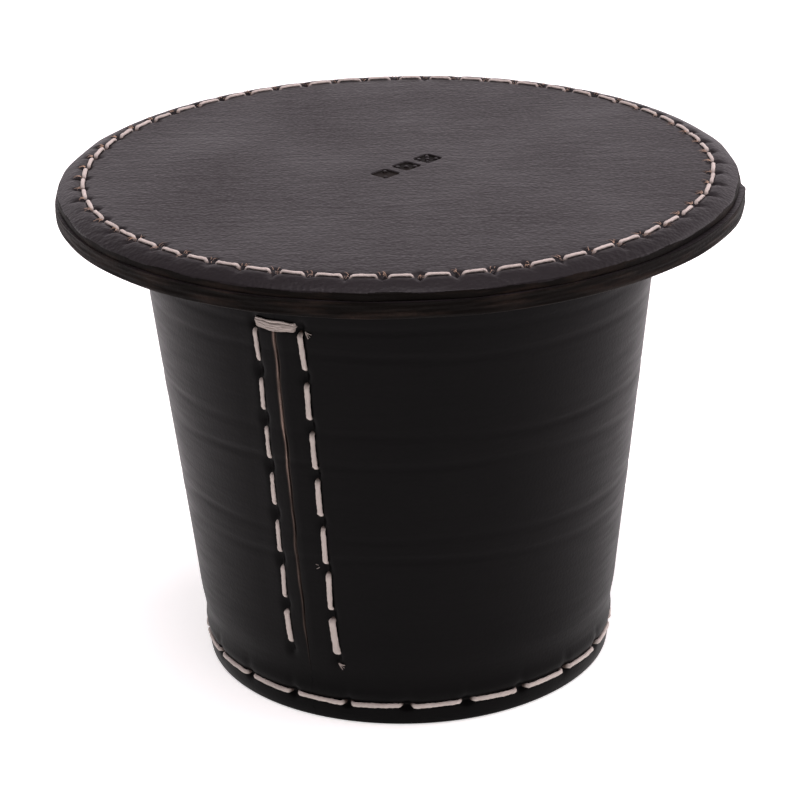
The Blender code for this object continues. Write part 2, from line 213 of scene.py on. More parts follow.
def outline(corners, roundings, spacings, closed):
    """Points along an outline of straight edges with rounded corners.

    A corner is a quadratic curve between the two points that lie its rounding's distance
    from it on its edges. An edge is divided evenly, with steps no longer than its spacing.
    """
    corners = [np.array(corner, float) for corner in corners]
    count = len(corners)
    stretches = []
    for i in range(count):
        here = corners[i]
        ends = not closed and i in (0, count - 1)
        before = here if ends else corners[i - 1]
        after = here if ends else corners[(i + 1) % count]
        to_before = (before - here) / max(np.linalg.norm(before - here), 1e-9)
        to_after = (after - here) / max(np.linalg.norm(after - here), 1e-9)
        start = here + to_before * roundings[i]
        stop = here + to_after * roundings[i]
        t = np.linspace(0.0, 1.0, 7 if roundings[i] else 1)[:, None]
        stretches.append((1 - t) ** 2 * start + 2 * t * (1 - t) * here + t**2 * stop)
        if closed or i < count - 1:
            follower = corners[(i + 1) % count]
            length = np.linalg.norm(follower - here)
            far = follower + (here - follower) / length * roundings[(i + 1) % count]
            steps = max(1, math.ceil(np.linalg.norm(far - stop) / spacings[i]))
            share = np.linspace(0.0, 1.0, steps + 1)[1:-1, None]
            stretches.append(stop + (far - stop) * share)
    return np.concatenate(stretches)


def turned(radius, height, angles):
    """Points of a profile turned about Z: row i at angle i, column j at profile point j."""
    angles = angles[:, None]
    rings = np.broadcast_to(radius, (len(angles), np.shape(radius)[-1]))
    levels = np.broadcast_to(height, rings.shape)
    return np.stack([rings * np.cos(angles), rings * np.sin(angles), levels], axis=-1)


def patch(points, wrap_rows=False, wrap_columns=False, cap_rows=False, poles=False):
    """Corner points and faces of one grid surface whose point (i, j) has number i * columns + j.

    With cap_rows the first and the last row are each closed by one face. With poles the
    first and the last column each lie on one point of the axis, where they are closed.
    The faces are turned over if the volume they enclose comes out negative.
    """
    rows, columns = points.shape[:2]
    body = points
    tops = np.empty((0, 3))
    if poles:
        tops = np.array([points[0, 0], points[0, -1]])
        body = points[:, 1:-1]
        columns -= 2
    i = np.arange(rows if wrap_rows else rows - 1)[:, None]
    j = np.arange(columns if wrap_columns else columns - 1)[None, :]
    next_i = (i + 1) % rows
    next_j = (j + 1) % columns
    corners = [i * columns + j, next_i * columns + j, next_i * columns + next_j, i * columns + next_j]
    quads = np.stack(np.broadcast_arrays(*corners), axis=-1).reshape(-1, 4)
    verts = np.concatenate([body.reshape(-1, 3), tops])
    a, b, c, d = (verts[quads[:, k]] - verts.mean(axis=0) for k in range(4))
    volume = np.einsum("ij,ij->i", a, np.cross(b, c) + np.cross(c, d)).sum()
    faces = quads.tolist()
    if cap_rows:
        faces.append(list(range(columns)))
        faces.append([(rows - 1) * columns + k for k in range(columns)][::-1])
    if poles:
        i = i[:, 0]
        next_i = next_i[:, 0]
        first = np.full_like(i, rows * columns)
        faces += np.stack([first, next_i * columns, i * columns], axis=-1).tolist()
        last = np.stack([first + 1, (i + 1) * columns - 1, (next_i + 1) * columns - 1], axis=-1)
        faces += last.tolist()
    if volume < 0:
        faces = [face[::-1] for face in faces]
    return verts, faces


def add_piece(name, patches, materials, body, replaces, marks=None, edge_and_stamp_mark=None):
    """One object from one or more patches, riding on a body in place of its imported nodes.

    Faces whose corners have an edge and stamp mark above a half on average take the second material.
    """
    starts = np.cumsum([0] + [len(verts) for verts, _ in patches])
    faces = [
        [corner + int(start) for corner in face]
        for (_, patch_faces), start in zip(patches, starts)
        for face in patch_faces
    ]
    mesh = bpy.data.meshes.new(name)
    mesh.from_pydata(np.concatenate([verts for verts, _ in patches]), [], faces)
    mesh.shade_smooth()
    mesh.set_sharp_from_angle(angle=math.radians(50))
    for mark, values in (marks or {}).items():
        layer = mesh.attributes.new(mark, "FLOAT", "POINT")
        layer.data.foreach_set("value", np.asarray(values, np.float32).ravel())
    if mesh.validate(verbose=False):
        raise RuntimeError(f"{name} has faces that do not hold together")
    for material in materials:
        mesh.materials.append(material)
    if edge_and_stamp_mark is not None:
        corners = np.empty(len(mesh.loops), np.int32)
        mesh.loops.foreach_get("vertex_index", corners)
        firsts = np.empty(len(mesh.polygons), np.int32)
        mesh.polygons.foreach_get("loop_start", firsts)
        totals = np.empty(len(mesh.polygons), np.int32)
        mesh.polygons.foreach_get("loop_total", totals)
        means = np.add.reduceat(np.asarray(edge_and_stamp_mark)[corners], firsts) / totals
        mesh.polygons.foreach_set("material_index", (means > 0.5).astype(np.int32))
    piece = bpy.data.objects.new(name, mesh)
    bpy.context.scene.collection.objects.link(piece)
    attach(piece, body)
    if replaces:
        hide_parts(*replaces)
    return piece


def pole_marks(values):
    """A mark's values in the order of a patch with poles: the body's, then the two ends."""
    return np.concatenate([values[:, 1:-1].ravel(), [values[0, 0], values[0, -1]]])


# --- Places on the leather ----------------------------------------------------------------
def wall_radius(height):
    """Radius of the wall's outer face, which is a cone."""
    return FOOT_RADIUS + WALL_SLOPE * height


def at(radius, angle, height):
    radius, angle, height = np.broadcast_arrays(radius, angle, height)
    return np.stack([radius * np.cos(angle), radius * np.sin(angle), height], axis=-1)


def on_foot(along, across, depth):
    """Along the foot's stitching, across it upwards, and in from the wall's outer face."""
    height = FOOT_STITCH_HEIGHT + across
    angle = FOOT_PHASE + along / wall_radius(FOOT_STITCH_HEIGHT)
    return at(wall_radius(height) - depth, angle, height)


def on_lid(along, across, depth):
    """Along the lid's stitching, across it outwards, and down from the lid's top face."""
    return at(LID_STITCH_RADIUS + across, LID_PHASE + along / LID_STITCH_RADIUS, LID_TOP - depth)


def row_offset(row, along):
    """How far right of the butt line a seam row runs, at a way down from the bar tack."""
    return row.offset + row.drift * along / (SEAM_STITCHES * SEAM_PITCH)


def on_seam(row):
    """A place function: down from the bar tack, across the row, and into the wall."""

    def place(along, across, depth):
        height = TACK_HEIGHT - along
        angle = SEAM_ANGLE + (row_offset(row, along) + across) / wall_radius(height)
        return at(wall_radius(height) - depth, angle, height)

    return place


def on_tack(along, across, depth):
    """Along the bar tack to the right, across it upwards, and in from the wall's outer face."""
    height = TACK_HEIGHT + across
    return at(wall_radius(height) - depth, SEAM_ANGLE + along / wall_radius(height), height)


# --- Thread -------------------------------------------------------------------------------
PATH_STEP = 0.02 * MM
RING_STEP = 0.26 * MM
THREAD_SIDES = 14

# A row's habit: how far from a hole a stitch starts to go down, the length of its way down,
# how high the thread's middle lies over the leather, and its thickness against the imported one.
Habit = namedtuple("Habit", "dive plunge lift girth")
FOOT_HABIT = Habit(1.40 * MM, 1.2 * MM, 0.10 * MM, 0.98)
LID_HABIT = Habit(1.25 * MM, 1.2 * MM, 0.04 * MM, 0.80)

# A seam row, sewn by hand: its offset from the butt line at the top, how far it has drifted
# to the right at the foot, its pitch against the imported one, and its habit.
SeamRow = namedtuple("SeamRow", "name offset drift stretch habit")
SEAM_ROW_SHIFT = 0.35 * MM
SEAM_ROWS = (
    SeamRow(
        "left",
        SEAM_ROW_SHIFT - SEAM_OFFSET,
        0.40 * MM,
        1.010,
        Habit(2.10 * MM, 1.5 * MM, 0.10 * MM, 0.86),
    ),
    SeamRow(
        "right",
        SEAM_ROW_SHIFT + SEAM_OFFSET,
        0.80 * MM,
        1.017,
        Habit(1.80 * MM, 1.5 * MM, 0.13 * MM, 1.04),
    ),
)


# The seam's thread is darkened all along it, partly by the wall's dye rubbed off on it and partly as
# painted shade on these upright threads.
SEAM_THREAD_DYE_AND_SHADE = 0.16


def even_route(place, along, across, depth):
    """A route through a place function with its points the same distance apart.

    The route's length is summed over its small steps, and each of its three coordinates is
    read off at even lengths. Returns the points, the side vectors and the three coordinates.
    """
    points = place(along, across, depth)
    lengths = np.concatenate([[0.0], np.cumsum(np.linalg.norm(np.diff(points, axis=0), axis=1))])
    rings = max(4, int(lengths[-1] / RING_STEP))
    even = np.linspace(0.0, lengths[-1], rings)
    along, across, depth = (np.interp(even, lengths, values) for values in (along, across, depth))
    points = place(along, across, depth)
    side = place(along, across + 0.1 * MM, depth) - points
    return points, side / np.linalg.norm(side, axis=1)[:, None], even, along, depth


def twisted_tube(points, side, length, width, thickness, turn, closed):
    """A three-ply thread: a ring of points round each point of its route.

    The ring's radius is 0.86 + 0.14 |cos(1.5 (angle - 2 pi length / turn))|, which gives
    three plies that turn once in a turn's length. Width is along the side vector, and
    thickness across it.
    """
    forward = np.gradient(points, axis=0)
    if closed:
        forward[0] = forward[-1] = points[1] - points[-2]
    forward /= np.linalg.norm(forward, axis=1)[:, None]
    up = np.cross(forward, side)
    up /= np.linalg.norm(up, axis=1)[:, None]
    angle = np.linspace(0.0, 2.0 * math.pi, THREAD_SIDES, endpoint=False)[None, :]
    ply = 0.86 + 0.14 * np.abs(np.cos(1.5 * (angle - 2.0 * math.pi * length[:, None] / turn)))
    across = (width[:, None] * np.cos(angle) * ply)[..., None] * side[:, None, :]
    over = (thickness[:, None] * np.sin(angle) * ply)[..., None] * up[:, None, :]
    return points[:, None, :] + across + over


def stitched_thread(place, holes, pitch, stack, outer, start, stop, habit, turn, closed, last_doubled):
    """The outer or the inner thread of a row of lockstitch, darker in colour where it goes down into its
    holes.

    Between holes the thread lies on the leather. Near a hole it goes down by a smooth step
    to half the stack, where it loops round the other thread.
    Each stitch leans a little to one side, by its own seeded amount.
    """
    along = np.arange(start, stop, PATH_STEP)
    number = np.clip(np.round((along - holes[0]) / pitch), 0, len(holes) - (0 if closed else 1))
    from_hole = along - (holes[0] + number * pitch)
    rng = np.random.default_rng(SEED + 50)
    dives = (habit.dive + rng.uniform(-0.22, 0.22, len(holes) + 3) * MM)[number.astype(int)]
    down = 1.0 - smooth_step(dives - habit.plunge, dives, np.abs(from_hole))
    crest = -habit.lift if outer else stack + habit.lift
    loop = stack / 2 - THREAD_RADIUS if outer else stack / 2 + THREAD_RADIUS
    stitch = np.floor((along - holes[0]) / pitch).astype(int) + 1
    leans = np.random.default_rng(SEED).uniform(-0.22, 0.22, len(holes) + 3) * MM
    share = (along - holes[0]) / pitch - np.floor((along - holes[0]) / pitch) - 0.5
    across = leans[np.clip(stitch, 0, len(leans) - 1)] * share * 2.0 * (1.0 - down)
    swell = 0.05 * MM * ripple(SEED + 1, [(900.0,), (2100.0,)], along) * (1.0 - down)
    depth = crest + (loop - crest) * down + swell
    points, side, length, along, depth = even_route(place, along, across, depth)
    uneven = ripple(SEED + 2, [(310.0,), (700.0,), (1900.0,), (3100.0,)], length)
    width = THREAD_RADIUS * habit.girth * (1.0 + 0.16 * uneven)
    if last_doubled:
        width = width * (1.0 + 0.42 * smooth_step(holes[-2], holes[-2] + 1.6 * MM, along))
    thickness = np.minimum(width, THREAD_RADIUS) * 0.80
    rings = twisted_tube(points, side, length, width, thickness, turn, closed)
    # How far the thread has gone down into a hole; its colour is darker by this much
    buried = smooth_step(0.1 * MM, 0.7 * MM, np.abs(depth - crest))
    if closed:
        rings = rings[:-1]
        buried = buried[:-1]
    made = patch(rings, wrap_rows=closed, wrap_columns=True, cap_rows=not closed)
    return made, np.repeat(buried, THREAD_SIDES)


def loose_end(place, spot, way, length, turn):
    """A frayed strand of a cut thread that lifts off the leather in a quarter bend.

    It starts at the spot, along and across the row, and heads off by the way's angle.
    """
    share = np.arange(0.0, 1.0, PATH_STEP / length)
    along = spot[0] + math.cos(way) * length * share
    across = spot[1] + math.sin(way) * length * share
    depth = 0.2 * MM - 0.40 * MM * np.sin(share * math.pi / 2)
    points, side, run, _, _ = even_route(place, along, across, depth)
    width = THREAD_RADIUS * np.linspace(0.36, 0.16, len(points))
    rings = twisted_tube(points, side, run, width, width, turn, False)
    return patch(rings, wrap_columns=True, cap_rows=True), np.full(rings.shape[0] * THREAD_SIDES, 0.45)


# --- Materials ----------------------------------------------------------------------------
def add_node(tree, kind, inputs=None, **settings):
    """Add a node, with its settings, and its inputs as values or as other nodes' outputs."""
    made = tree.nodes.new(kind)
    for name, value in settings.items():
        setattr(made, name, value)
    for socket, value in (inputs or {}).items():
        if isinstance(value, bpy.types.NodeSocket):
            tree.links.new(value, made.inputs[socket])
        else:
            made.inputs[socket].default_value = value
    return made


def new_finish(name):
    """An empty material, with its tree, its Principled BSDF and the Object coordinates."""
    material = bpy.data.materials.new(name)
    material.use_nodes = True
    tree = material.node_tree
    shader = tree.nodes["Principled BSDF"]
    place = add_node(tree, "ShaderNodeTexCoord").outputs["Object"]
    return material, tree, shader, place


def per_metre(millimetres):
    """A texture scale that gives a pattern of that size."""
    return 1.0 / (millimetres * MM)


def opaque(colour):
    return (*colour, 1.0)


def finish_colour(tree, shader, colour, roughness, bump):
    tree.links.new(colour, shader.inputs["Base Color"])
    tree.links.new(roughness, shader.inputs["Roughness"])
    tree.links.new(bump, shader.inputs["Normal"])


def black_bridle_leather(colours):
    """Bridle leather, waxed and glazed on its grain side: a smooth, deep black with soft
    lights, faint handling marks and pores finer than half a millimetre. The inner face is
    the flesh side, and the butt line shows undyed leather."""
    material, tree, shader, place = new_finish("black_bridle_leather")
    patches = add_node(
        tree, "ShaderNodeTexNoise", {"Vector": place, "Scale": per_metre(14), "Detail": 4.0}
    ).outputs["Fac"]
    pores = add_node(
        tree, "ShaderNodeTexVoronoi", {"Vector": place, "Scale": per_metre(0.55), "Randomness": 1.0}
    ).outputs["Distance"]
    stretched = add_node(
        tree, "ShaderNodeMapping", {"Vector": place, "Scale": (1.0, 1.0, 9.0)}
    ).outputs["Vector"]
    scuffs = add_node(
        tree, "ShaderNodeTexNoise", {"Vector": stretched, "Scale": per_metre(9), "Detail": 6.0}
    ).outputs["Fac"]
    nap = add_node(
        tree, "ShaderNodeTexNoise", {"Vector": place, "Scale": per_metre(0.6), "Detail": 5.0}
    ).outputs["Fac"]
    raw = add_node(tree, "ShaderNodeAttribute", attribute_name="raw").outputs["Fac"]
    flesh = add_node(tree, "ShaderNodeAttribute", attribute_name="flesh").outputs["Fac"]
    grain = add_node(
        tree,
        "ShaderNodeMix",
        {0: patches, 6: opaque(colours.wall), 7: opaque(colours.wall_worn)},
        data_type="RGBA",
    ).outputs[2]
    inside = add_node(
        tree,
        "ShaderNodeMix",
        {0: nap, 6: opaque(colours.flesh), 7: opaque(colours.flesh_light)},
        data_type="RGBA",
    ).outputs[2]
    sides = add_node(
        tree, "ShaderNodeMix", {0: flesh, 6: grain, 7: inside}, data_type="RGBA"
    ).outputs[2]
    colour = add_node(
        tree, "ShaderNodeMix", {0: raw, 6: sides, 7: opaque(colours.raw_edge)}, data_type="RGBA"
    ).outputs[2]
    gloss = add_node(
        tree, "ShaderNodeMapRange", {"Value": scuffs, "To Min": 0.30, "To Max": 0.52}
    ).outputs["Result"]
    matt = add_node(tree, "ShaderNodeMath", {0: flesh, 1: raw}, operation="MAXIMUM").outputs[0]
    roughness = add_node(
        tree, "ShaderNodeMix", {0: matt, 2: gloss, 3: 0.85}, data_type="FLOAT"
    ).outputs[0]
    fine = add_node(
        tree, "ShaderNodeBump", {"Height": pores, "Strength": 0.35, "Distance": 0.04 * MM}
    ).outputs["Normal"]
    soft = add_node(
        tree,
        "ShaderNodeBump",
        {"Height": scuffs, "Strength": 0.25, "Distance": 0.12 * MM, "Normal": fine},
    ).outputs["Normal"]
    nap_strength = add_node(tree, "ShaderNodeMath", {0: matt, 1: 0.6}, operation="MULTIPLY").outputs[0]
    bump = add_node(
        tree,
        "ShaderNodeBump",
        {"Height": nap, "Strength": nap_strength, "Distance": 0.3 * MM, "Normal": soft},
    ).outputs["Normal"]
    shader.inputs["Specular IOR Level"].default_value = 0.055
    finish_colour(tree, shader, colour, roughness, bump)
    return material


def black_grain_leather(colours):
    """Vegetable-tanned leather dyed black, its grain left open: greyer and more matt than
    the wall, with fine pebbles and a few broad wrinkles that run across the disc."""
    material, tree, shader, place = new_finish("black_grain_leather")
    patches = add_node(
        tree, "ShaderNodeTexNoise", {"Vector": place, "Scale": per_metre(22), "Detail": 5.0}
    ).outputs["Fac"]
    pebbles = add_node(
        tree, "ShaderNodeTexVoronoi", {"Vector": place, "Scale": per_metre(0.75), "Randomness": 1.0}
    ).outputs["Distance"]
    specks = add_node(
        tree, "ShaderNodeTexNoise", {"Vector": place, "Scale": per_metre(0.5), "Detail": 3.0}
    ).outputs["Fac"]
    skewed = add_node(
        tree,
        "ShaderNodeMapping",
        {"Vector": place, "Rotation": (0.0, 0.0, 0.35), "Scale": (0.35, 1.6, 1.0)},
    ).outputs["Vector"]
    wrinkles = add_node(
        tree,
        "ShaderNodeTexNoise",
        {"Vector": skewed, "Scale": per_metre(3.4), "Detail": 5.0, "Distortion": 0.8},
    ).outputs["Fac"]
    colour = add_node(
        tree,
        "ShaderNodeMix",
        {0: patches, 6: opaque(colours.lid), 7: opaque(colours.lid_worn)},
        data_type="RGBA",
    ).outputs[2]
    both = add_node(tree, "ShaderNodeMath", {0: patches, 1: specks}, operation="MULTIPLY").outputs[0]
    roughness = add_node(
        tree,
        "ShaderNodeMapRange",
        {"Value": both, "From Min": 0.1, "From Max": 0.45, "To Min": 0.36, "To Max": 0.56},
    ).outputs["Result"]
    fine = add_node(
        tree, "ShaderNodeBump", {"Height": pebbles, "Strength": 0.55, "Distance": 0.11 * MM}
    ).outputs["Normal"]
    bump = add_node(
        tree,
        "ShaderNodeBump",
        {"Height": wrinkles, "Strength": 0.5, "Distance": 0.24 * MM, "Normal": fine},
    ).outputs["Normal"]
    shader.inputs["Specular IOR Level"].default_value = 0.15
    finish_colour(tree, shader, colour, roughness, bump)
    return material


def burnished_cut_edge(colours):
    """The leather's cut edge, dyed and rubbed down: brown-black and low in shine, with its fibre layers as
    streaks along it. The stamp's sunk faces take it too, as pressed leather and as painted shade in their
    recesses."""
    material, tree, shader, place = new_finish("burnished_cut_edge")
    layered = add_node(
        tree, "ShaderNodeMapping", {"Vector": place, "Scale": (1.0, 1.0, 7.0)}
    ).outputs["Vector"]
    streaks = add_node(
        tree, "ShaderNodeTexNoise", {"Vector": layered, "Scale": per_metre(9), "Detail": 6.0}
    ).outputs["Fac"]
    fibres = add_node(
        tree, "ShaderNodeTexNoise", {"Vector": place, "Scale": per_metre(0.7), "Detail": 5.0}
    ).outputs["Fac"]
    layer_share = add_node(
        tree, "ShaderNodeMapRange", {"Value": streaks, "From Min": 0.48, "From Max": 0.76}
    ).outputs["Result"]
    share = add_node(tree, "ShaderNodeMath", {0: layer_share, 1: fibres}, operation="MULTIPLY").outputs[0]
    colour = add_node(
        tree,
        "ShaderNodeMix",
        {0: share, 6: opaque(colours.edge), 7: opaque(colours.edge_streak)},
        data_type="RGBA",
    ).outputs[2]
    roughness = add_node(
        tree, "ShaderNodeMapRange", {"Value": fibres, "To Min": 0.45, "To Max": 0.75}
    ).outputs["Result"]
    grooves = add_node(
        tree, "ShaderNodeBump", {"Height": streaks, "Strength": 0.8, "Distance": 0.35 * MM}
    ).outputs["Normal"]
    bump = add_node(
        tree,
        "ShaderNodeBump",
        {"Height": fibres, "Strength": 0.5, "Distance": 0.15 * MM, "Normal": grooves},
    ).outputs["Normal"]
    shader.inputs["Specular IOR Level"].default_value = 0.05
    finish_colour(tree, shader, colour, roughness, bump)
    return material


def split_leather(colours):
    """Split leather, flesh side out: brown-black, quite matt, with a short nap and longer
    loose fibres, and no shine."""
    material, tree, shader, place = new_finish("dark_split_leather")
    nap = add_node(
        tree, "ShaderNodeTexNoise", {"Vector": place, "Scale": per_metre(0.5), "Detail": 6.0}
    ).outputs["Fac"]
    patches = add_node(
        tree, "ShaderNodeTexNoise", {"Vector": place, "Scale": per_metre(8), "Detail": 3.0}
    ).outputs["Fac"]
    share = add_node(tree, "ShaderNodeMath", {0: nap, 1: patches}, operation="MULTIPLY").outputs[0]
    colour = add_node(
        tree,
        "ShaderNodeMix",
        {0: share, 6: opaque(colours.flesh), 7: opaque(colours.flesh_light)},
        data_type="RGBA",
    ).outputs[2]
    roughness = add_node(
        tree, "ShaderNodeMapRange", {"Value": patches, "To Min": 0.78, "To Max": 0.95}
    ).outputs["Result"]
    bump = add_node(
        tree, "ShaderNodeBump", {"Height": nap, "Strength": 0.7, "Distance": 0.25 * MM}
    ).outputs["Normal"]
    shader.inputs["Specular IOR Level"].default_value = 0.25
    finish_colour(tree, shader, colour, roughness, bump)
    return material


def waxed_linen(colours):
    """Linen thread drawn through beeswax: off-white, slightly translucent lights on the plies, fine lint,
    and brown-black where it goes down into the leather. Along the seam it is darker still, partly dye off
    the wall and partly painted shade."""
    material, tree, shader, place = new_finish("waxed_linen_thread")
    lint = add_node(
        tree, "ShaderNodeTexNoise", {"Vector": place, "Scale": per_metre(0.35), "Detail": 4.0}
    ).outputs["Fac"]
    stains = add_node(
        tree, "ShaderNodeTexNoise", {"Vector": place, "Scale": per_metre(5), "Detail": 3.0}
    ).outputs["Fac"]
    # The dark share: where the thread goes into its holes, random stains, and painted shade along the seam
    soiled_and_shaded = add_node(tree, "ShaderNodeAttribute", attribute_name="soil_and_shade").outputs["Fac"]
    faint = add_node(
        tree,
        "ShaderNodeMapRange",
        {"Value": stains, "From Min": 0.45, "From Max": 0.8, "To Max": 0.35},
    ).outputs["Result"]
    share = add_node(tree, "ShaderNodeMath", {0: faint, 1: soiled_and_shaded}, operation="MAXIMUM").outputs[0]
    colour = add_node(
        tree,
        "ShaderNodeMix",
        {0: share, 6: opaque(colours.thread), 7: opaque(colours.thread_soiled_and_shaded)},
        data_type="RGBA",
    ).outputs[2]
    roughness = add_node(
        tree, "ShaderNodeMapRange", {"Value": lint, "To Min": 0.55, "To Max": 0.85}
    ).outputs["Result"]
    bump = add_node(
        tree, "ShaderNodeBump", {"Height": lint, "Strength": 0.7, "Distance": 0.12 * MM}
    ).outputs["Normal"]
    finish_colour(tree, shader, colour, roughness, bump)
    return material


def tan_fibre(colours):
    """Undyed leather fibre pulled up by the needle: pale orange-brown, dull and dry."""
    material, tree, shader, place = new_finish("tan_leather_fibre")
    tone = add_node(
        tree, "ShaderNodeTexNoise", {"Vector": place, "Scale": per_metre(3), "Detail": 2.0}
    ).outputs["Fac"]
    colour = add_node(
        tree,
        "ShaderNodeMix",
        {0: tone, 6: opaque(colours.raw_edge), 7: opaque(colours.fibre)},
        data_type="RGBA",
    ).outputs[2]
    tree.links.new(colour, shader.inputs["Base Color"])
    shader.inputs["Roughness"].default_value = 0.8
    return material


def paper_floor(colours):
    """Matt pale background paper on a light table: plain, with no shine, and lit from below
    so that hardly a shadow shows on it."""
    material, tree, shader, _ = new_finish("pale_background_paper")
    shader.inputs["Emission Color"].default_value = opaque(colours.floor)
    shader.inputs["Emission Strength"].default_value = 0.62
    shader.inputs["Base Color"].default_value = opaque(colours.floor)
    shader.inputs["Roughness"].default_value = 0.9
    shader.inputs["Specular IOR Level"].default_value = 0.2
    return material


def finish(name, maker):
    """The material of that name, made once and shared by the pieces that have it."""
    return bpy.data.materials.get(name) or maker(bpy.context.scene.dice_cup_colours)


# --- The cup ------------------------------------------------------------------------------
# Heights in mm of the ring creases, and of the ribs that cause them.
RING_CREASES = (74.9, 70.1, 55.4, 49.8, 35.9, 31.5)
RIB_LEVELS = (72.2, 52.8, 33.4, 14.0)
RIB_DEPTH = 2.0 * MM
CREASE_WIDTH = 0.48 * MM


def on_tack_and_above(height):
    """1 where the bar tack and the stretch above it hold the butt edges tight, 0 below."""
    return smooth_step(TACK_HEIGHT - 1.5 * MM, TACK_HEIGHT, height)


def open_butt_share(height):
    """1 where the butt edges stand a little apart, 0 near the foot and from the tack up."""
    return smooth_step(8.0 * MM, 22.0 * MM, height) * (1.0 - on_tack_and_above(height))


def row_relief(sizes, from_hole, across, valley_share, dimple_share=1.0):
    """Depth of a row of stitching's valley, and of the dimple at its nearest hole."""
    valley = sizes.thread_valley * bell(across, 0.62 * MM) * valley_share
    dimple = sizes.hole_dimple * bell(from_hole, 1.0 * MM) * bell(across, 0.85 * MM)
    return valley + dimple * dimple_share


def wall_relief(sizes, angle, height):
    """How far in the wall's outer face lies behind its cone, at each angle and height.

    The sum of: the two seam rows, the foot's row, the eased butt edges, the low ridge that
    the stiff ends of the leather make there, pairs of shallow ring creases at the ribs with
    a faint swell between them, the pinch over the foot's stitching with the swell under it,
    and a broad unevenness.
    """
    turn = (angle - SEAM_ANGLE + math.pi) % (2.0 * math.pi) - math.pi
    beside = turn * wall_radius(height)
    down = TACK_HEIGHT - height
    relief = 0.0
    for row in SEAM_ROWS:
        pitch = SEAM_PITCH * row.stretch
        on_row = smooth_step(-0.3 * MM, 0.5 * MM, down)
        on_row = on_row * smooth_step(-0.5 * MM, 0.3 * MM, SEAM_STITCHES * pitch - down)
        from_hole = down - np.clip(np.round(down / pitch), 0, SEAM_STITCHES) * pitch
        relief = relief + row_relief(sizes, from_hole, beside - row_offset(row, down), on_row)

    along = ((angle - FOOT_PHASE) % (2.0 * math.pi)) * wall_radius(FOOT_STITCH_HEIGHT)
    foot_pitch = 2.0 * math.pi * wall_radius(FOOT_STITCH_HEIGHT) / FOOT_STITCHES
    foot_hole = along - np.round(along / foot_pitch) * foot_pitch
    above_row = height - FOOT_STITCH_HEIGHT
    relief = relief + row_relief(sizes, foot_hole, above_row, 1.0)
    pull = bell(foot_hole, 0.8 * MM) * bell(above_row - 1.2 * MM, 1.9 * MM)
    relief = relief + 0.22 * MM * pull

    open_butt = open_butt_share(height)
    eased = 0.24 * MM * np.exp(-np.abs(beside) / (0.4 * MM)) * open_butt
    ridge = 0.42 * MM * np.clip(1.0 - np.abs(beside) / (7.5 * MM), 0.0, 1.0) ** 1.4
    right_low = 0.10 * MM * smooth_step(-1.5 * MM, -0.2 * MM, -beside) * (beside >= 0)
    relief = relief + eased - ridge * open_butt + right_low * open_butt

    swing = 1.3 * MM * ripple(SEED + 3, [(1.0,), (2.0,)], angle)
    for number, level in enumerate(RING_CREASES):
        wander = swing + 0.5 * MM * ripple(SEED + 10 + number, [(3.0,), (5.0,)], angle)
        strength = 0.65 + 0.35 * ripple(SEED + 20 + number, [(2.0,), (7.0,)], angle)
        relief = relief + sizes.ring_crease * strength * bell(height - level * MM - wander, CREASE_WIDTH)
    for level in RIB_LEVELS:
        relief = relief - 0.04 * MM * bell(height - level * MM - swing, 2.6 * MM)
    relief = relief + 0.20 * MM * bell(height - 9.0 * MM, 2.6 * MM)
    relief = relief - 0.20 * MM * bell(height - 5.8 * MM, 1.1 * MM)
    relief = relief - 0.12 * MM * bell(height - 1.4 * MM, 1.2 * MM)
    broad = ripple(SEED + 4, [(3.0, 40.0), (5.0, -70.0), (7.0, 110.0), (2.0, 20.0)], angle, height)
    return relief + 0.10 * MM * broad


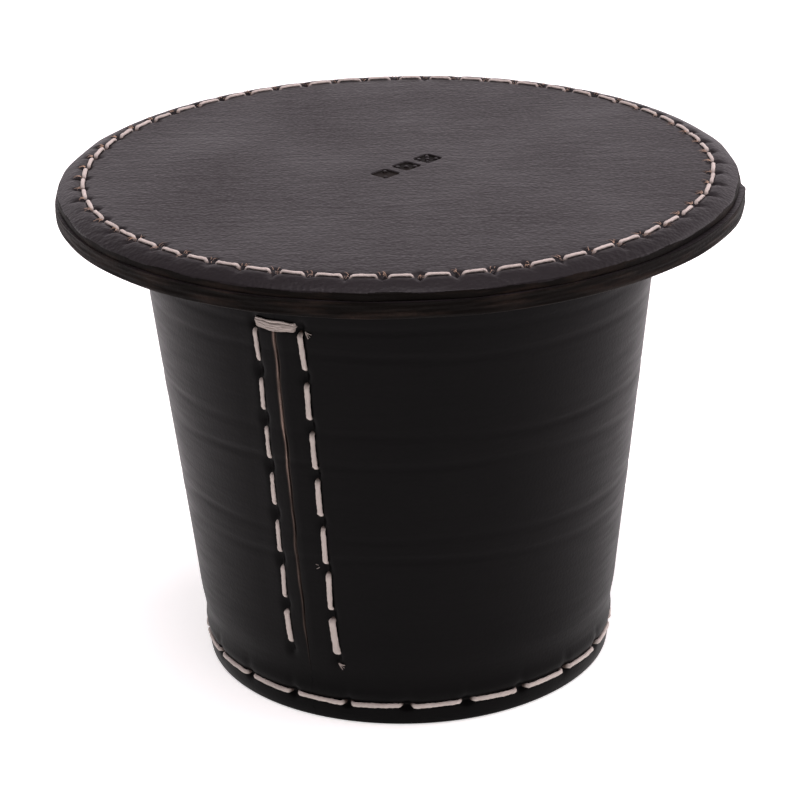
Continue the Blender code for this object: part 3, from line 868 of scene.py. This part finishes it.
class DICE_CUP_OT_wall(bpy.types.Operator):
    """Roll the tapered wall from butt edge to butt edge, with its stitch valleys and creases"""

    bl_idname = "dice_cup.wall"
    bl_label = "Cup wall"

    def execute(self, context):
        sizes = context.scene.dice_cup_sizes
        mouth = wall_radius(CUP_HEIGHT)
        fine_top = 8.5 * MM
        corners = [
            (FOOT_RADIUS, 0.0),
            (wall_radius(fine_top), fine_top),
            (mouth, CUP_HEIGHT),
            (mouth - WALL_THICKNESS, CUP_HEIGHT),
            (FOOT_INNER_RADIUS, 0.0),
        ]
        profile = outline(
            corners,
            (0.55 * MM, 0.0, 0.7 * MM, 0.7 * MM, 0.4 * MM),
            (0.36 * MM, 0.62 * MM, 0.6 * MM, 2.8 * MM, 0.8 * MM),
            True,
        )
        mean_radius = wall_radius(CUP_HEIGHT / 2)
        gap = BUTT_GAP / mean_radius
        fine = 8.0 * MM / mean_radius
        near = np.linspace(gap / 2, fine, 40, endpoint=False)
        middle = np.linspace(fine, 2.0 * math.pi - fine, 400, endpoint=False)
        turn = np.concatenate([near, middle, 2.0 * math.pi - near[::-1]])
        radius, height = profile[None, :, 0], profile[None, :, 1]
        signed = np.minimum(turn, 2.0 * math.pi - turn) * np.where(turn > math.pi, -1.0, 1.0)
        signed = signed[:, None]
        open_butt = open_butt_share(height)
        closing = (gap / 2 - 0.02 * MM / mean_radius) * (1.0 - open_butt)
        wobble = 0.22 * MM * ripple(SEED + 18, [(190.0,), (430.0,), (820.0,)], height) / mean_radius
        near_butt = bell(signed * mean_radius, 2.2 * MM)
        angles = SEAM_ANGLE + turn
        angle = angles[:, None] + (wobble - np.sign(signed) * closing) * near_butt
        outer = smooth_step(-0.9 * MM, -0.1 * MM, radius - wall_radius(height))
        relief = wall_relief(sizes, angles[:, None], np.broadcast_to(height, angle.shape))
        points = at(radius - relief * outer, angle, height)
        slit = np.abs(signed) * mean_radius
        left = signed < 0
        patchy = 0.55 + 0.45 * ripple(SEED + 5, [(260.0,), (610.0,), (1130.0,)], height)
        fade = (0.3 + 0.7 * smooth_step(36.0 * MM, 52.0 * MM, height)) * open_butt
        raw = smooth_step(-0.42 * MM, -0.20 * MM, -slit) * (left * patchy + 0.08) * fade
        flesh = 1.0 - smooth_step(-1.9 * MM, -1.1 * MM, radius - wall_radius(height))
        raw, flesh = (np.broadcast_to(mark, points.shape[:2]) for mark in (raw, flesh))
        add_piece(
            "wall_leather_roll",
            [patch(points, wrap_columns=True, cap_rows=True)],
            [finish("black_bridle_leather", black_bridle_leather)],
            "cup",
            ["cup_wall"],
            {"raw": raw, "flesh": flesh},
        )
        return {"FINISHED"}


class DICE_CUP_OT_base(bpy.types.Operator):
    """Press the dished base, its flange down, with soft corners and a slightly sagging floor"""

    bl_idname = "dice_cup.base"
    bl_label = "Dished base"

    def execute(self, context):
        lean = WALL_SLOPE
        floor_under = BASE_TOP - BASE_THICKNESS
        corners = [
            (0.0, BASE_TOP),
            (BASE_OUTER_RADIUS + lean * BASE_TOP, BASE_TOP),
            (BASE_OUTER_RADIUS, 0.0),
            (BASE_INNER_RADIUS, 0.0),
            (BASE_INNER_RADIUS + lean * floor_under, floor_under),
            (0.0, floor_under),
        ]
        profile = outline(
            corners,
            (0.0, 1.6 * MM, 0.4 * MM, 0.4 * MM, 1.0 * MM, 0.0),
            (1.2 * MM, 0.5 * MM, 0.6 * MM, 0.5 * MM, 1.2 * MM, 1.0),
            False,
        )
        angles = np.linspace(0.0, 2.0 * math.pi, 264, endpoint=False)
        radius, height = profile[None, :, 0], profile[None, :, 1]
        flat = 1.0 - smooth_step(0.75, 0.95, radius / BASE_OUTER_RADIUS)
        uneven = ripple(SEED + 6, [(2.0, 90.0), (3.0, -160.0), (5.0, 240.0)], angles[:, None], radius)
        inside = smooth_step(0.0, 6.0 * MM, radius)
        sag = -0.25 * MM * flat * bell(radius, 22.0 * MM) + 0.08 * MM * uneven * flat * inside
        points = turned(radius, height + sag, angles)
        flesh = np.broadcast_to(np.where(height > floor_under + 0.6 * MM, 0.0, 0.9), points.shape[:2])
        add_piece(
            "dished_base_leather",
            [patch(points, wrap_rows=True, poles=True)],
            [finish("black_bridle_leather", black_bridle_leather)],
            "cup",
            ["cup_base"],
            {"raw": pole_marks(flesh * 0.0), "flesh": pole_marks(flesh)},
        )
        return {"FINISHED"}


class DICE_CUP_OT_ribs(bpy.types.Operator):
    """Glue in the four ribs, open where the backing strip runs, with skived inner corners"""

    bl_idname = "dice_cup.ribs"
    bl_label = "Inner ribs"

    def execute(self, context):
        room = BACKING_WIDTH / 2 + LAYER_GAP
        for number in range(1, 5):
            node = f"inner_rib_{number}"
            low, high = (corner.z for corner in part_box(node))
            back = WALL_THICKNESS + LAYER_GAP
            corners = [
                (wall_radius(high) - back, high),
                (wall_radius(low) - back, low),
                (wall_radius(low) - back - RIB_DEPTH, low),
                (wall_radius(high) - back - RIB_DEPTH, high),
            ]
            roundings = (0.15 * MM, 0.15 * MM, 0.9 * MM, 0.9 * MM)
            profile = outline(corners, roundings, (0.8 * MM,) * 4, True)
            half = room / (wall_radius(low) - back - RIB_DEPTH)
            angles = SEAM_ANGLE + np.linspace(half, 2.0 * math.pi - half, 260)
            radius, height = profile[None, :, 0], profile[None, :, 1]
            middle = (low + high) / 2
            inward = smooth_step(-1.2 * MM, 0.0, wall_radius(height) - back - 1.2 * MM - radius)
            wear = 0.12 * MM * ripple(SEED + number, [(9.0,), (17.0,), (31.0,)], angles[:, None])
            swell = 0.15 * MM * bell(height - middle, 1.6 * MM)
            points = turned(radius - inward * (swell + wear), height, angles)
            add_piece(
                f"inner_rib_leather_{number}",
                [patch(points, wrap_columns=True, cap_rows=True)],
                [finish("dark_split_leather", split_leather)],
                "cup",
                [node],
            )
        return {"FINISHED"}


class DICE_CUP_OT_backing(bpy.types.Operator):
    """Lay the strip behind the butt line, with skived sides and a dip at every awl hole"""

    bl_idname = "dice_cup.backing"
    bl_label = "Seam backing strip"

    def execute(self, context):
        low, high = (corner.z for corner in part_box("seam_backing_strip"))
        low, high = low + 0.1 * MM, high - 0.1 * MM
        back = WALL_THICKNESS + LAYER_GAP
        half = BACKING_WIDTH / 2
        face = back + BACKING_THICKNESS
        corners = [(-half, back), (half, back), (half, face), (-half, face)]
        roundings = (0.2 * MM, 0.2 * MM, 0.75 * MM, 0.75 * MM)
        section = outline(corners, roundings, (0.45 * MM, 0.5 * MM, 0.45 * MM, 0.5 * MM), True)
        heights = np.linspace(low, high, 220)[:, None]
        beside, depth = section[None, :, 0], section[None, :, 1]
        down = TACK_HEIGHT - heights
        inner = smooth_step(back + 1.0 * MM, back + BACKING_THICKNESS, depth)
        dips = 0.0
        for row in SEAM_ROWS:
            pitch = SEAM_PITCH * row.stretch
            from_hole = down - np.clip(np.round(down / pitch), 1, SEAM_STITCHES) * pitch
            dips = dips + bell(from_hole, 0.9 * MM) * bell(beside - row_offset(row, down), 0.8 * MM)
        edge_wear = 0.12 * MM * ripple(SEED + 8, [(310.0,), (730.0,)], heights)
        pinched = depth - inner * 0.45 * MM * dips
        angle = SEAM_ANGLE + (beside * (1.0 + edge_wear / half)) / wall_radius(heights)
        points = at(wall_radius(heights) - pinched, angle, np.broadcast_to(heights, angle.shape))
        add_piece(
            "seam_backing_leather",
            [patch(points, wrap_columns=True, cap_rows=True)],
            [finish("dark_split_leather", split_leather)],
            "cup",
            ["seam_backing_strip"],
        )
        return {"FINISHED"}


# --- The cup's stitching ------------------------------------------------------------------
class DICE_CUP_OT_foot_threads(bpy.types.Operator):
    """Sew round the foot: the outer and the inner thread of 22 stitches"""

    bl_idname = "dice_cup.foot_threads"
    bl_label = "Foot stitching"

    def execute(self, context):
        turn = context.scene.dice_cup_sizes.ply_turn
        length = 2.0 * math.pi * wall_radius(FOOT_STITCH_HEIGHT)
        pitch = length / FOOT_STITCHES
        holes = pitch * np.arange(FOOT_STITCHES)
        for side, outer in (("outer", True), ("inner", False)):
            made, soil_and_shade = stitched_thread(
                on_foot, holes, pitch, FOOT_STACK, outer, 0.0, length, FOOT_HABIT, turn, True, False
            )
            add_piece(
                f"foot_{side}_linen",
                [made],
                [finish("waxed_linen_thread", waxed_linen)],
                "cup",
                [f"foot_thread_{side}"],
                {"soil_and_shade": soil_and_shade},
            )
        return {"FINISHED"}


# Frayed ends on the right row: their hole, how far past and beside it in mm, and their heading.
FRAYED_ENDS = ((0, 0.9, 0.9, 0.9), (5, -0.4, -0.9, -1.5), (7, 0.9, 0.2, 1.1))
FRAYED_STRANDS = (-0.45, 0.0, 0.5)


class DICE_CUP_OT_seam_threads(bpy.types.Operator):
    """Sew down both sides of the butt line, with the last stitches doubled and cut short"""

    bl_idname = "dice_cup.seam_threads"
    bl_label = "Seam stitching"

    def execute(self, context):
        turn = context.scene.dice_cup_sizes.ply_turn
        for row in SEAM_ROWS:
            place = on_seam(row)
            pitch = SEAM_PITCH * row.stretch
            holes = pitch * np.arange(SEAM_STITCHES + 1)
            for side, outer in (("outer", True), ("inner", False)):
                start = 0.25 * MM if outer else pitch
                made, soil_and_shade = stitched_thread(
                    place, holes, pitch, SEAM_STACK, outer, start, holes[-1], row.habit, turn, False, outer
                )
                # Painted shade, with some dye off the wall: the seam's thread is darker all along
                patches, soil_and_shade_parts = [made], [np.maximum(soil_and_shade, SEAM_THREAD_DYE_AND_SHADE)]
                if outer and row.name == "right":
                    for hole, past, beside, way in FRAYED_ENDS:
                        spot = (pitch * hole + past * MM, beside * MM)
                        for strand in FRAYED_STRANDS:
                            tail, tail_soil = loose_end(place, spot, way + strand, 1.1 * MM, turn)
                            patches.append(tail)
                            soil_and_shade_parts.append(tail_soil)
                add_piece(
                    f"seam_{row.name}_{side}_linen",
                    patches,
                    [finish("waxed_linen_thread", waxed_linen)],
                    "cup",
                    [f"seam_thread_{row.name}_{side}"],
                    {"soil_and_shade": np.concatenate(soil_and_shade_parts)},
                )
        return {"FINISHED"}


class DICE_CUP_OT_bar_tack(bpy.types.Operator):
    """Bind the top of the seam with a lens-shaped bundle of thread passes"""

    bl_idname = "dice_cup.bar_tack"
    bl_label = "Bar tack"

    def execute(self, context):
        turn = context.scene.dice_cup_sizes.ply_turn
        rng = np.random.default_rng(SEED + 9)
        passes = 8
        patches, soil_and_shade_parts = [], []
        for number in range(passes):
            share = number / (passes - 1) * 2.0 - 1.0
            along = np.arange(-SEAM_OFFSET, SEAM_OFFSET, PATH_STEP)
            t = (along + SEAM_OFFSET) / (2.0 * SEAM_OFFSET)
            lens = np.sqrt(np.clip(np.sin(math.pi * t), 0.0, 1.0))
            sag = -0.30 * MM * np.sin(math.pi * t)
            across = 0.78 * MM * share * (0.45 + 0.55 * lens) + sag + 0.25 * MM * (0.5 - t)
            ends = smooth_step(0.0, 1.0 * MM, SEAM_OFFSET - np.abs(along))
            pile = 0.12 * MM * (1.0 - share**2)
            depth = 1.5 * MM * (1.0 - ends) - (0.16 * MM + pile) * ends
            depth = depth + 0.07 * MM * rng.uniform(-1.0, 1.0)
            across = across + 0.12 * MM * ripple(SEED + 60 + number, [(900.0,), (1700.0,)], along)
            points, side, length, _, depth = even_route(on_tack, along, across, depth)
            width = 0.22 * MM * (1.0 + 0.2 * ripple(SEED + 70 + number, [(1500.0,), (2900.0,)], length))
            rings = twisted_tube(points, side, length, width, width * 0.9, turn * 0.7, False)
            patches.append(patch(rings, wrap_columns=True, cap_rows=True))
            stained = rng.uniform(0.15, 0.6)
            # Each pass has its own random stain, and is darker where it goes down into the wall
            soil_and_shade_parts.append(np.repeat(np.maximum(smooth_step(0.0, 1.0 * MM, depth), stained), THREAD_SIDES))
        add_piece(
            "bar_tack_linen",
            patches,
            [finish("waxed_linen_thread", waxed_linen)],
            "cup",
            ["seam_bar_tack"],
            {"soil_and_shade": np.concatenate(soil_and_shade_parts)},
        )
        return {"FINISHED"}


# --- The lid ------------------------------------------------------------------------------
STAMP_CENTRE = (1.5 * MM, 0.6 * MM)
STAMP_ANGLE = math.radians(47.0)
DIE_FACES = (
    ((-1.0, -1.0), (1.0, 1.0)),
    ((-1.0, 1.0), (0.0, 0.0), (1.0, -1.0)),
    ((-1.0, -1.0), (-1.0, 1.0), (0.0, 0.0), (1.0, -1.0), (1.0, 1.0)),
)
DIE_STEP = 5.4 * MM
DIE_HALF = 1.9 * MM
PIP_STEP = 1.05 * MM


def stamp_relief(x, y):
    """Share of the stamp's depth at each point: three die faces in a row, each a sunk square
    with round corners, and a round dot left standing for each pip."""
    cosine, sine = math.cos(STAMP_ANGLE), math.sin(STAMP_ANGLE)
    x, y = x - STAMP_CENTRE[0], y - STAMP_CENTRE[1]
    u, v = x * cosine + y * sine, y * cosine - x * sine
    relief = np.zeros_like(u)
    for number, pips in enumerate(DIE_FACES):
        right = u - (number - 1) * DIE_STEP
        corner = 0.6 * MM
        over_u = np.maximum(np.abs(right) - DIE_HALF + corner, 0.0)
        over_v = np.maximum(np.abs(v) - DIE_HALF + corner, 0.0)
        inside = np.minimum(np.maximum(np.abs(right), np.abs(v)) - DIE_HALF + corner, 0.0)
        from_line = np.hypot(over_u, over_v) + inside - corner
        face = 1.0 - smooth_step(-0.18 * MM, 0.12 * MM, from_line)
        for across, up in pips:
            from_pip = np.hypot(right - across * PIP_STEP, v - up * PIP_STEP)
            face = face * smooth_step(0.26 * MM, 0.46 * MM, from_pip)
        relief = np.maximum(relief, face)
    return relief


def stitch_side_creases(sizes, angle, radius):
    """Depth of the lid's stitch valley, its hole dimples and the creases across them.

    A crease is a narrow valley through a hole along the radius. Each has its own seeded
    length outwards and inwards, and the leather swells a little between two creases.
    """
    rng = np.random.default_rng(SEED + 30)
    outward = rng.uniform(1.6, 3.4, LID_STITCHES) * MM
    inward = rng.uniform(0.9, 2.6, LID_STITCHES) * MM
    weight = rng.uniform(0.6, 1.1, LID_STITCHES)
    step = 2.0 * math.pi / LID_STITCHES
    number = np.round((angle - LID_PHASE) / step)
    hole = number.astype(int) % LID_STITCHES
    beside = (angle - LID_PHASE - number * step) * radius
    across = radius - LID_STITCH_RADIUS
    relief = row_relief(sizes, beside, across, 0.8, 0.5)
    reach = np.where(across > 0, outward[hole], inward[hole])
    length = 1.0 - smooth_step(0.25, 1.0, np.abs(across) / reach)
    crease = sizes.radial_crease * weight[hole] * bell(beside, 0.42 * MM) * length
    between = 1.0 - bell(beside, 1.2 * MM)
    swell = 0.12 * MM * between * bell(across - 1.7 * MM, 1.0 * MM)
    return relief + crease - swell


class DICE_CUP_OT_lid_top(bpy.types.Operator):
    """Cut the lid's top disc, with its rolled edge, creases at the holes and stamped dice"""

    bl_idname = "dice_cup.lid_top"
    bl_label = "Lid top disc"

    def execute(self, context):
        sizes = context.scene.dice_cup_sizes
        stamp_reach, flat_reach = 9.6 * MM, 48.0 * MM
        drop = 1.30 * MM
        shoulder = LID_STITCH_RADIUS + 0.9 * MM
        margin = LID_TOP_RADIUS - shoulder
        corners = [
            (0.0, LID_TOP),
            (stamp_reach, LID_TOP),
            (flat_reach, LID_TOP),
            (shoulder, LID_TOP),
            (shoulder + margin * 0.55, LID_TOP - drop * 0.36),
            (LID_TOP_RADIUS, LID_TOP - drop),
            (LID_TOP_RADIUS, LID_TOP_BOTTOM),
            (0.0, LID_TOP_BOTTOM),
        ]
        profile = outline(
            corners,
            (0.0, 0.0, 0.0, 0.9 * MM, 0.9 * MM, 0.35 * MM, 0.1 * MM, 0.0),
            (0.16 * MM, 2.4 * MM, 0.36 * MM, 0.4 * MM, 0.3 * MM, 0.12 * MM, 9.0 * MM, 1.0),
            False,
        )
        angles = LID_PHASE + np.linspace(0.0, 2.0 * math.pi, LID_STITCHES * 12, endpoint=False)
        angle = angles[:, None]
        radius = np.broadcast_to(profile[None, :, 0], (len(angles), len(profile)))
        height = np.broadcast_to(profile[None, :, 1], radius.shape)
        upper = smooth_step(LID_TOP - drop - 0.5 * MM, LID_TOP - drop, height)
        upper = upper * smooth_step(LID_TOP_RADIUS + 0.2 * MM, LID_TOP_RADIUS - 0.7 * MM, radius)
        upper = np.where(radius < flat_reach, height > LID_TOP - 1.0 * MM, upper)
        relief = stitch_side_creases(sizes, angle, radius)
        stamped = stamp_relief(radius * np.cos(angle), radius * np.sin(angle))
        broad = ripple(
            SEED + 7,
            [(110.0, 40.0), (-60.0, 150.0), (200.0, -90.0), (35.0, 70.0)],
            radius * np.cos(angle),
            radius * np.sin(angle),
        )
        relief = relief + sizes.stamp_depth * stamped + 0.07 * MM * broad
        wavy = 0.18 * MM * ripple(SEED + 11, [(5.0,), (11.0,), (23.0,)], angle)
        wavy = wavy + 0.24 * MM * (0.3 - np.abs(ripple(SEED + 19, [(7.0,), (13.0,)], angle)))
        rim = smooth_step(LID_TOP_RADIUS - 1.0 * MM, LID_TOP_RADIUS, radius)
        points = turned(radius + wavy * rim, height - relief * upper, angles)
        waver = 0.34 * MM * ripple(SEED + 12, [(4.0,), (9.0,), (21.0,), (37.0,)], angle)
        burnish = 1.0 - smooth_step(-0.22 * MM, 0.22 * MM, height - (LID_TOP - drop - 0.1 * MM) - waver)
        burnish = np.broadcast_to(burnish, radius.shape)
        # The stamp's sunk faces take the darker edge finish: pressed leather, with painted shade in the
        # recess
        edge_and_stamp_mark = np.maximum(burnish, np.where(height > LID_TOP - drop, stamped, 0.0))
        add_piece(
            "lid_top_leather",
            [patch(points, wrap_rows=True, poles=True)],
            [
                finish("black_grain_leather", black_grain_leather),
                finish("burnished_cut_edge", burnished_cut_edge),
            ],
            "lid",
            ["lid_top_disc"],
            edge_and_stamp_mark=pole_marks(edge_and_stamp_mark),
        )
        return {"FINISHED"}


class DICE_CUP_OT_lid_bottom(bpy.types.Operator):
    """Cut the lid's bottom disc, which stands out beyond the top one at the right"""

    bl_idname = "dice_cup.lid_bottom"
    bl_label = "Lid bottom disc"

    def execute(self, context):
        top = LID_SPLIT + 0.95 * LAYER_GAP
        corners = [(0.0, top), (LID_RADIUS, top), (LID_RADIUS, LID_BOTTOM), (0.0, LID_BOTTOM)]
        profile = outline(
            corners,
            (0.0, 0.10 * MM, 0.5 * MM, 0.0),
            (1.6 * MM, 0.12 * MM, 1.6 * MM, 1.0),
            False,
        )
        angles = LID_PHASE + np.linspace(0.0, 2.0 * math.pi, LID_STITCHES * 9, endpoint=False)
        angle = angles[:, None]
        radius = np.broadcast_to(profile[None, :, 0], (len(angles), len(profile)))
        height = np.broadcast_to(profile[None, :, 1], radius.shape)
        degrees = np.degrees((angle + math.pi) % (2.0 * math.pi) - math.pi)
        overhang = smooth_step(-5.0, -8.0, degrees) * smooth_step(-50.0, -12.0, degrees)
        waves = 0.15 * MM * ripple(SEED + 13, [(3.0,), (8.0,), (19.0,)], angle)
        layers = ripple(
            SEED + 14, [(9.0, 5200.0), (-14.0, 8100.0), (23.0, 3300.0)], angle, height
        )
        rim = smooth_step(LID_RADIUS - 1.2 * MM, LID_RADIUS - 0.1 * MM, radius)
        out = 0.85 * MM * overhang + waves + 0.08 * MM * layers
        under = (height < (LID_BOTTOM + LID_SPLIT) / 2) * smooth_step(0.0, 10.0 * MM, radius)
        broad = ripple(SEED + 15, [(3.0, 90.0), (-5.0, 150.0)], angle, radius)
        points = turned(radius + out * rim, height + 0.03 * MM * broad * under, angles)
        burnish = smooth_step(LID_RADIUS - 1.1 * MM, LID_RADIUS - 0.5 * MM, radius)
        add_piece(
            "lid_bottom_leather",
            [patch(points, wrap_rows=True, poles=True)],
            [
                finish("black_grain_leather", black_grain_leather),
                finish("burnished_cut_edge", burnished_cut_edge),
            ],
            "lid",
            ["lid_bottom_disc"],
            edge_and_stamp_mark=pole_marks(burnish),
        )
        return {"FINISHED"}


class DICE_CUP_OT_locating_disc(bpy.types.Operator):
    """Glue the locating disc under the lid, flesh side down, with a skived lower corner"""

    bl_idname = "dice_cup.locating_disc"
    bl_label = "Lid locating disc"

    def execute(self, context):
        low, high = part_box("lid_locating_disc")
        reach = high.x
        corners = [(0.0, high.z), (reach, high.z), (reach, low.z), (0.0, low.z)]
        profile = outline(
            corners,
            (0.0, 0.15 * MM, 0.8 * MM, 0.0),
            (3.0 * MM, 0.3 * MM, 1.1 * MM, 1.0),
            False,
        )
        angles = np.linspace(0.0, 2.0 * math.pi, 288, endpoint=False)
        radius, height = profile[None, :, 0], profile[None, :, 1]
        under = (height < (low.z + high.z) / 2) * smooth_step(0.0, 8.0 * MM, radius)
        broad = ripple(SEED + 16, [(4.0, 120.0), (-7.0, 210.0), (11.0, 60.0)], angles[:, None], radius)
        worn = 0.10 * MM * ripple(SEED + 17, [(6.0,), (13.0,)], angles[:, None])
        rim = smooth_step(reach - 1.0 * MM, reach, radius)
        points = turned(radius - np.abs(worn) * rim, height + 0.08 * MM * np.abs(broad) * under, angles)
        add_piece(
            "locating_disc_leather",
            [patch(points, wrap_rows=True, poles=True)],
            [finish("dark_split_leather", split_leather)],
            "lid",
            ["lid_locating_disc"],
        )
        return {"FINISHED"}


class DICE_CUP_OT_lid_threads(bpy.types.Operator):
    """Sew round the lid: the upper and the lower thread of 59 stitches"""

    bl_idname = "dice_cup.lid_threads"
    bl_label = "Lid stitching"

    def execute(self, context):
        turn = context.scene.dice_cup_sizes.ply_turn
        length = 2.0 * math.pi * LID_STITCH_RADIUS
        pitch = length / LID_STITCHES
        holes = pitch * np.arange(LID_STITCHES)
        for side, outer in (("upper", True), ("lower", False)):
            made, soil_and_shade = stitched_thread(
                on_lid, holes, pitch, LID_STACK, outer, 0.0, length, LID_HABIT, turn, True, False
            )
            add_piece(
                f"lid_{side}_linen",
                [made],
                [finish("waxed_linen_thread", waxed_linen)],
                "lid",
                [f"lid_thread_{side}"],
                {"soil_and_shade": soil_and_shade},
            )
        return {"FINISHED"}


class DICE_CUP_OT_fibres(bpy.types.Operator):
    """Draw up a few loose tan fibres at each of the lid's holes"""

    bl_idname = "dice_cup.fibres"
    bl_label = "Fibres at the lid's holes"

    def execute(self, context):
        """Each fibre is a three-sided spike along a parabola: out along a slanting heading,
        and up and over by height * 4 t (1 - t). Its thickness runs out to its tip."""
        reach = context.scene.dice_cup_sizes.fibre_length
        rng = np.random.default_rng(SEED + 40)
        each, steps, sides = 5, 6, 3
        count = LID_STITCHES * each
        hole = np.repeat(np.arange(LID_STITCHES), each)
        angle = LID_PHASE + 2.0 * math.pi * hole / LID_STITCHES + rng.uniform(-0.010, 0.010, count)
        to_left = np.where(np.cos(angle) > 0, -1.0, 1.0)
        to_left = np.where(np.abs(np.cos(angle)) < 0.8, rng.choice((-1.0, 1.0), count), to_left)
        heading = angle + np.where(to_left > 0, 0.0, math.pi) + rng.uniform(-0.75, 0.75, count)
        length = reach * rng.uniform(0.35, 1.15, count)
        arch = rng.uniform(0.10, 0.34, count) * MM
        root = at(LID_STITCH_RADIUS + to_left * 0.3 * MM, angle, LID_TOP - 0.15 * MM)
        t = np.linspace(0.0, 1.0, steps)
        ahead = np.stack([np.cos(heading), np.sin(heading), np.zeros(count)], axis=-1)
        sideways = np.stack([-np.sin(heading), np.cos(heading), np.zeros(count)], axis=-1)
        bend = rng.uniform(-0.35, 0.35, count)[:, None, None] * sideways[:, None, :]
        spine = root[:, None, :] + length[:, None, None] * t[None, :, None] * ahead[:, None, :]
        spine = spine + length[:, None, None] * (t**2)[None, :, None] * bend
        spine[..., 2] += arch[:, None] * 4.0 * t * (1.0 - t) + 0.20 * MM
        around = np.linspace(0.0, 2.0 * math.pi, sides, endpoint=False)
        thick = 0.055 * MM * (1.0 - 0.85 * t)[None, :, None, None]
        ring = np.cos(around)[None, None, :, None] * sideways[:, None, None, :]
        ring = ring + np.sin(around)[None, None, :, None] * np.array([0.0, 0.0, 1.0])
        points = spine[:, :, None, :] + thick * ring
        add_piece(
            "lid_hole_fibres",
            [patch(fibre, wrap_columns=True, cap_rows=True) for fibre in points],
            [finish("tan_leather_fibre", tan_fibre)],
            "lid",
            [],
        )
        return {"FINISHED"}


# --- The stage ----------------------------------------------------------------------------
FLOOR_HALF = 3.0
SOFT_LIGHT = (1.0, 0.90, 0.95)
# The sky grows brighter towards the back, a little to the right, and low down.
SKY_HEADING = (0.32, 1.0, -1.2)
LAMP_TARGET = Vector((0.0, 0.0, 0.05))
# Name, place in metres, width in metres and power in watts.
LAMPS = (
    ("left_softbox", (-0.85, 0.10, 0.55), 0.9, 1.8),
    ("right_softbox", (0.85, 0.15, 0.55), 0.9, 5.0),
    ("top_softbox", (0.0, -0.25, 1.15), 0.8, 11.5),
)


class DICE_CUP_OT_stage(bpy.types.Operator):
    """Set up the pale floor, the soft light and the camera"""

    bl_idname = "dice_cup.stage"
    bl_label = "Stage"

    def execute(self, context):
        scene = context.scene
        scene.view_settings.view_transform = "Standard"
        mesh = bpy.data.meshes.new("paper_floor")
        side = FLOOR_HALF
        low = -0.05 * MM
        corners = [(-side, -side, low), (side, -side, low), (side, side, low), (-side, side, low)]
        mesh.from_pydata(corners, [], [(0, 1, 2, 3)])
        mesh.materials.append(finish("pale_background_paper", paper_floor))
        floor = bpy.data.objects.new("paper_floor", mesh)
        scene.collection.objects.link(floor)

        world = bpy.data.worlds.new("soft_studio")
        world.use_nodes = True
        tree = world.node_tree
        direction = add_node(tree, "ShaderNodeTexCoord").outputs["Generated"]
        backward = add_node(
            tree, "ShaderNodeVectorMath", {0: direction, 1: SKY_HEADING}, operation="DOT_PRODUCT"
        ).outputs["Value"]
        share = add_node(
            tree,
            "ShaderNodeMapRange",
            {"Value": backward, "From Min": -0.75, "From Max": 0.6, "To Min": 0.12, "To Max": 1.32},
            interpolation_type="SMOOTHSTEP",
        ).outputs["Result"]
        background = tree.nodes["Background"]
        background.inputs["Color"].default_value = (*SOFT_LIGHT, 1.0)
        tree.links.new(share, background.inputs["Strength"])
        scene.world = world

        for name, place, size, power in LAMPS:
            light = bpy.data.lights.new(name, "AREA")
            light.shape = "DISK"
            light.size = size
            light.energy = power
            light.color = SOFT_LIGHT
            lamp = bpy.data.objects.new(name, light)
            lamp.location = place
            lamp.rotation_mode = "QUATERNION"
            lamp.rotation_quaternion = (LAMP_TARGET - Vector(place)).to_track_quat("-Z", "Y")
            scene.collection.objects.link(lamp)

        back = Vector((0.0, -math.cos(CAMERA_ELEVATION), math.sin(CAMERA_ELEVATION)))
        camera_data = bpy.data.cameras.new("view")
        camera_data.lens = CAMERA_LENS
        camera_data.sensor_width = CAMERA_SENSOR
        camera = bpy.data.objects.new("view", camera_data)
        facing = (-back).to_track_quat("-Z", "Y").to_matrix()
        camera.rotation_mode = "QUATERNION"
        camera.rotation_quaternion = (facing @ Matrix.Rotation(CAMERA_ROLL, 3, "Z")).to_quaternion()
        camera.location = CAMERA_AIM + back * CAMERA_DISTANCE
        scene.collection.objects.link(camera)
        scene.camera = camera
        return {"FINISHED"}


# --- Add-on -------------------------------------------------------------------------------
MAKERS = (
    DICE_CUP_OT_stage,
    DICE_CUP_OT_wall,
    DICE_CUP_OT_base,
    DICE_CUP_OT_ribs,
    DICE_CUP_OT_backing,
    DICE_CUP_OT_foot_threads,
    DICE_CUP_OT_seam_threads,
    DICE_CUP_OT_bar_tack,
    DICE_CUP_OT_lid_top,
    DICE_CUP_OT_lid_bottom,
    DICE_CUP_OT_locating_disc,
    DICE_CUP_OT_lid_threads,
    DICE_CUP_OT_fibres,
)


class DICE_CUP_PT_panel(bpy.types.Panel):
    """Sizes, colours and the makers of the cup's pieces"""

    bl_idname = "DICE_CUP_PT_panel"
    bl_label = "Leather Dice Cup"
    bl_space_type = "VIEW_3D"
    bl_region_type = "UI"
    bl_category = "Dice Cup"

    def draw(self, context):
        for group in (context.scene.dice_cup_sizes, context.scene.dice_cup_colours):
            column = self.layout.column()
            for name in group.__annotations__:
                column.prop(group, name)
        for maker in MAKERS:
            self.layout.operator(maker.bl_idname)


CLASSES = (DiceCupSizes, DiceCupColours, *MAKERS, DICE_CUP_PT_panel)


def register():
    for cls in CLASSES:
        bpy.utils.register_class(cls)
    bpy.types.Scene.dice_cup_sizes = bpy.props.PointerProperty(type=DiceCupSizes)
    bpy.types.Scene.dice_cup_colours = bpy.props.PointerProperty(type=DiceCupColours)


def unregister():
    del bpy.types.Scene.dice_cup_colours
    del bpy.types.Scene.dice_cup_sizes
    for cls in reversed(CLASSES):
        bpy.utils.unregister_class(cls)


def main():
    register()
    for maker in MAKERS:
        group, name = maker.bl_idname.split(".")
        getattr(getattr(bpy.ops, group), name)()


if __name__ == "__main__":
    main()
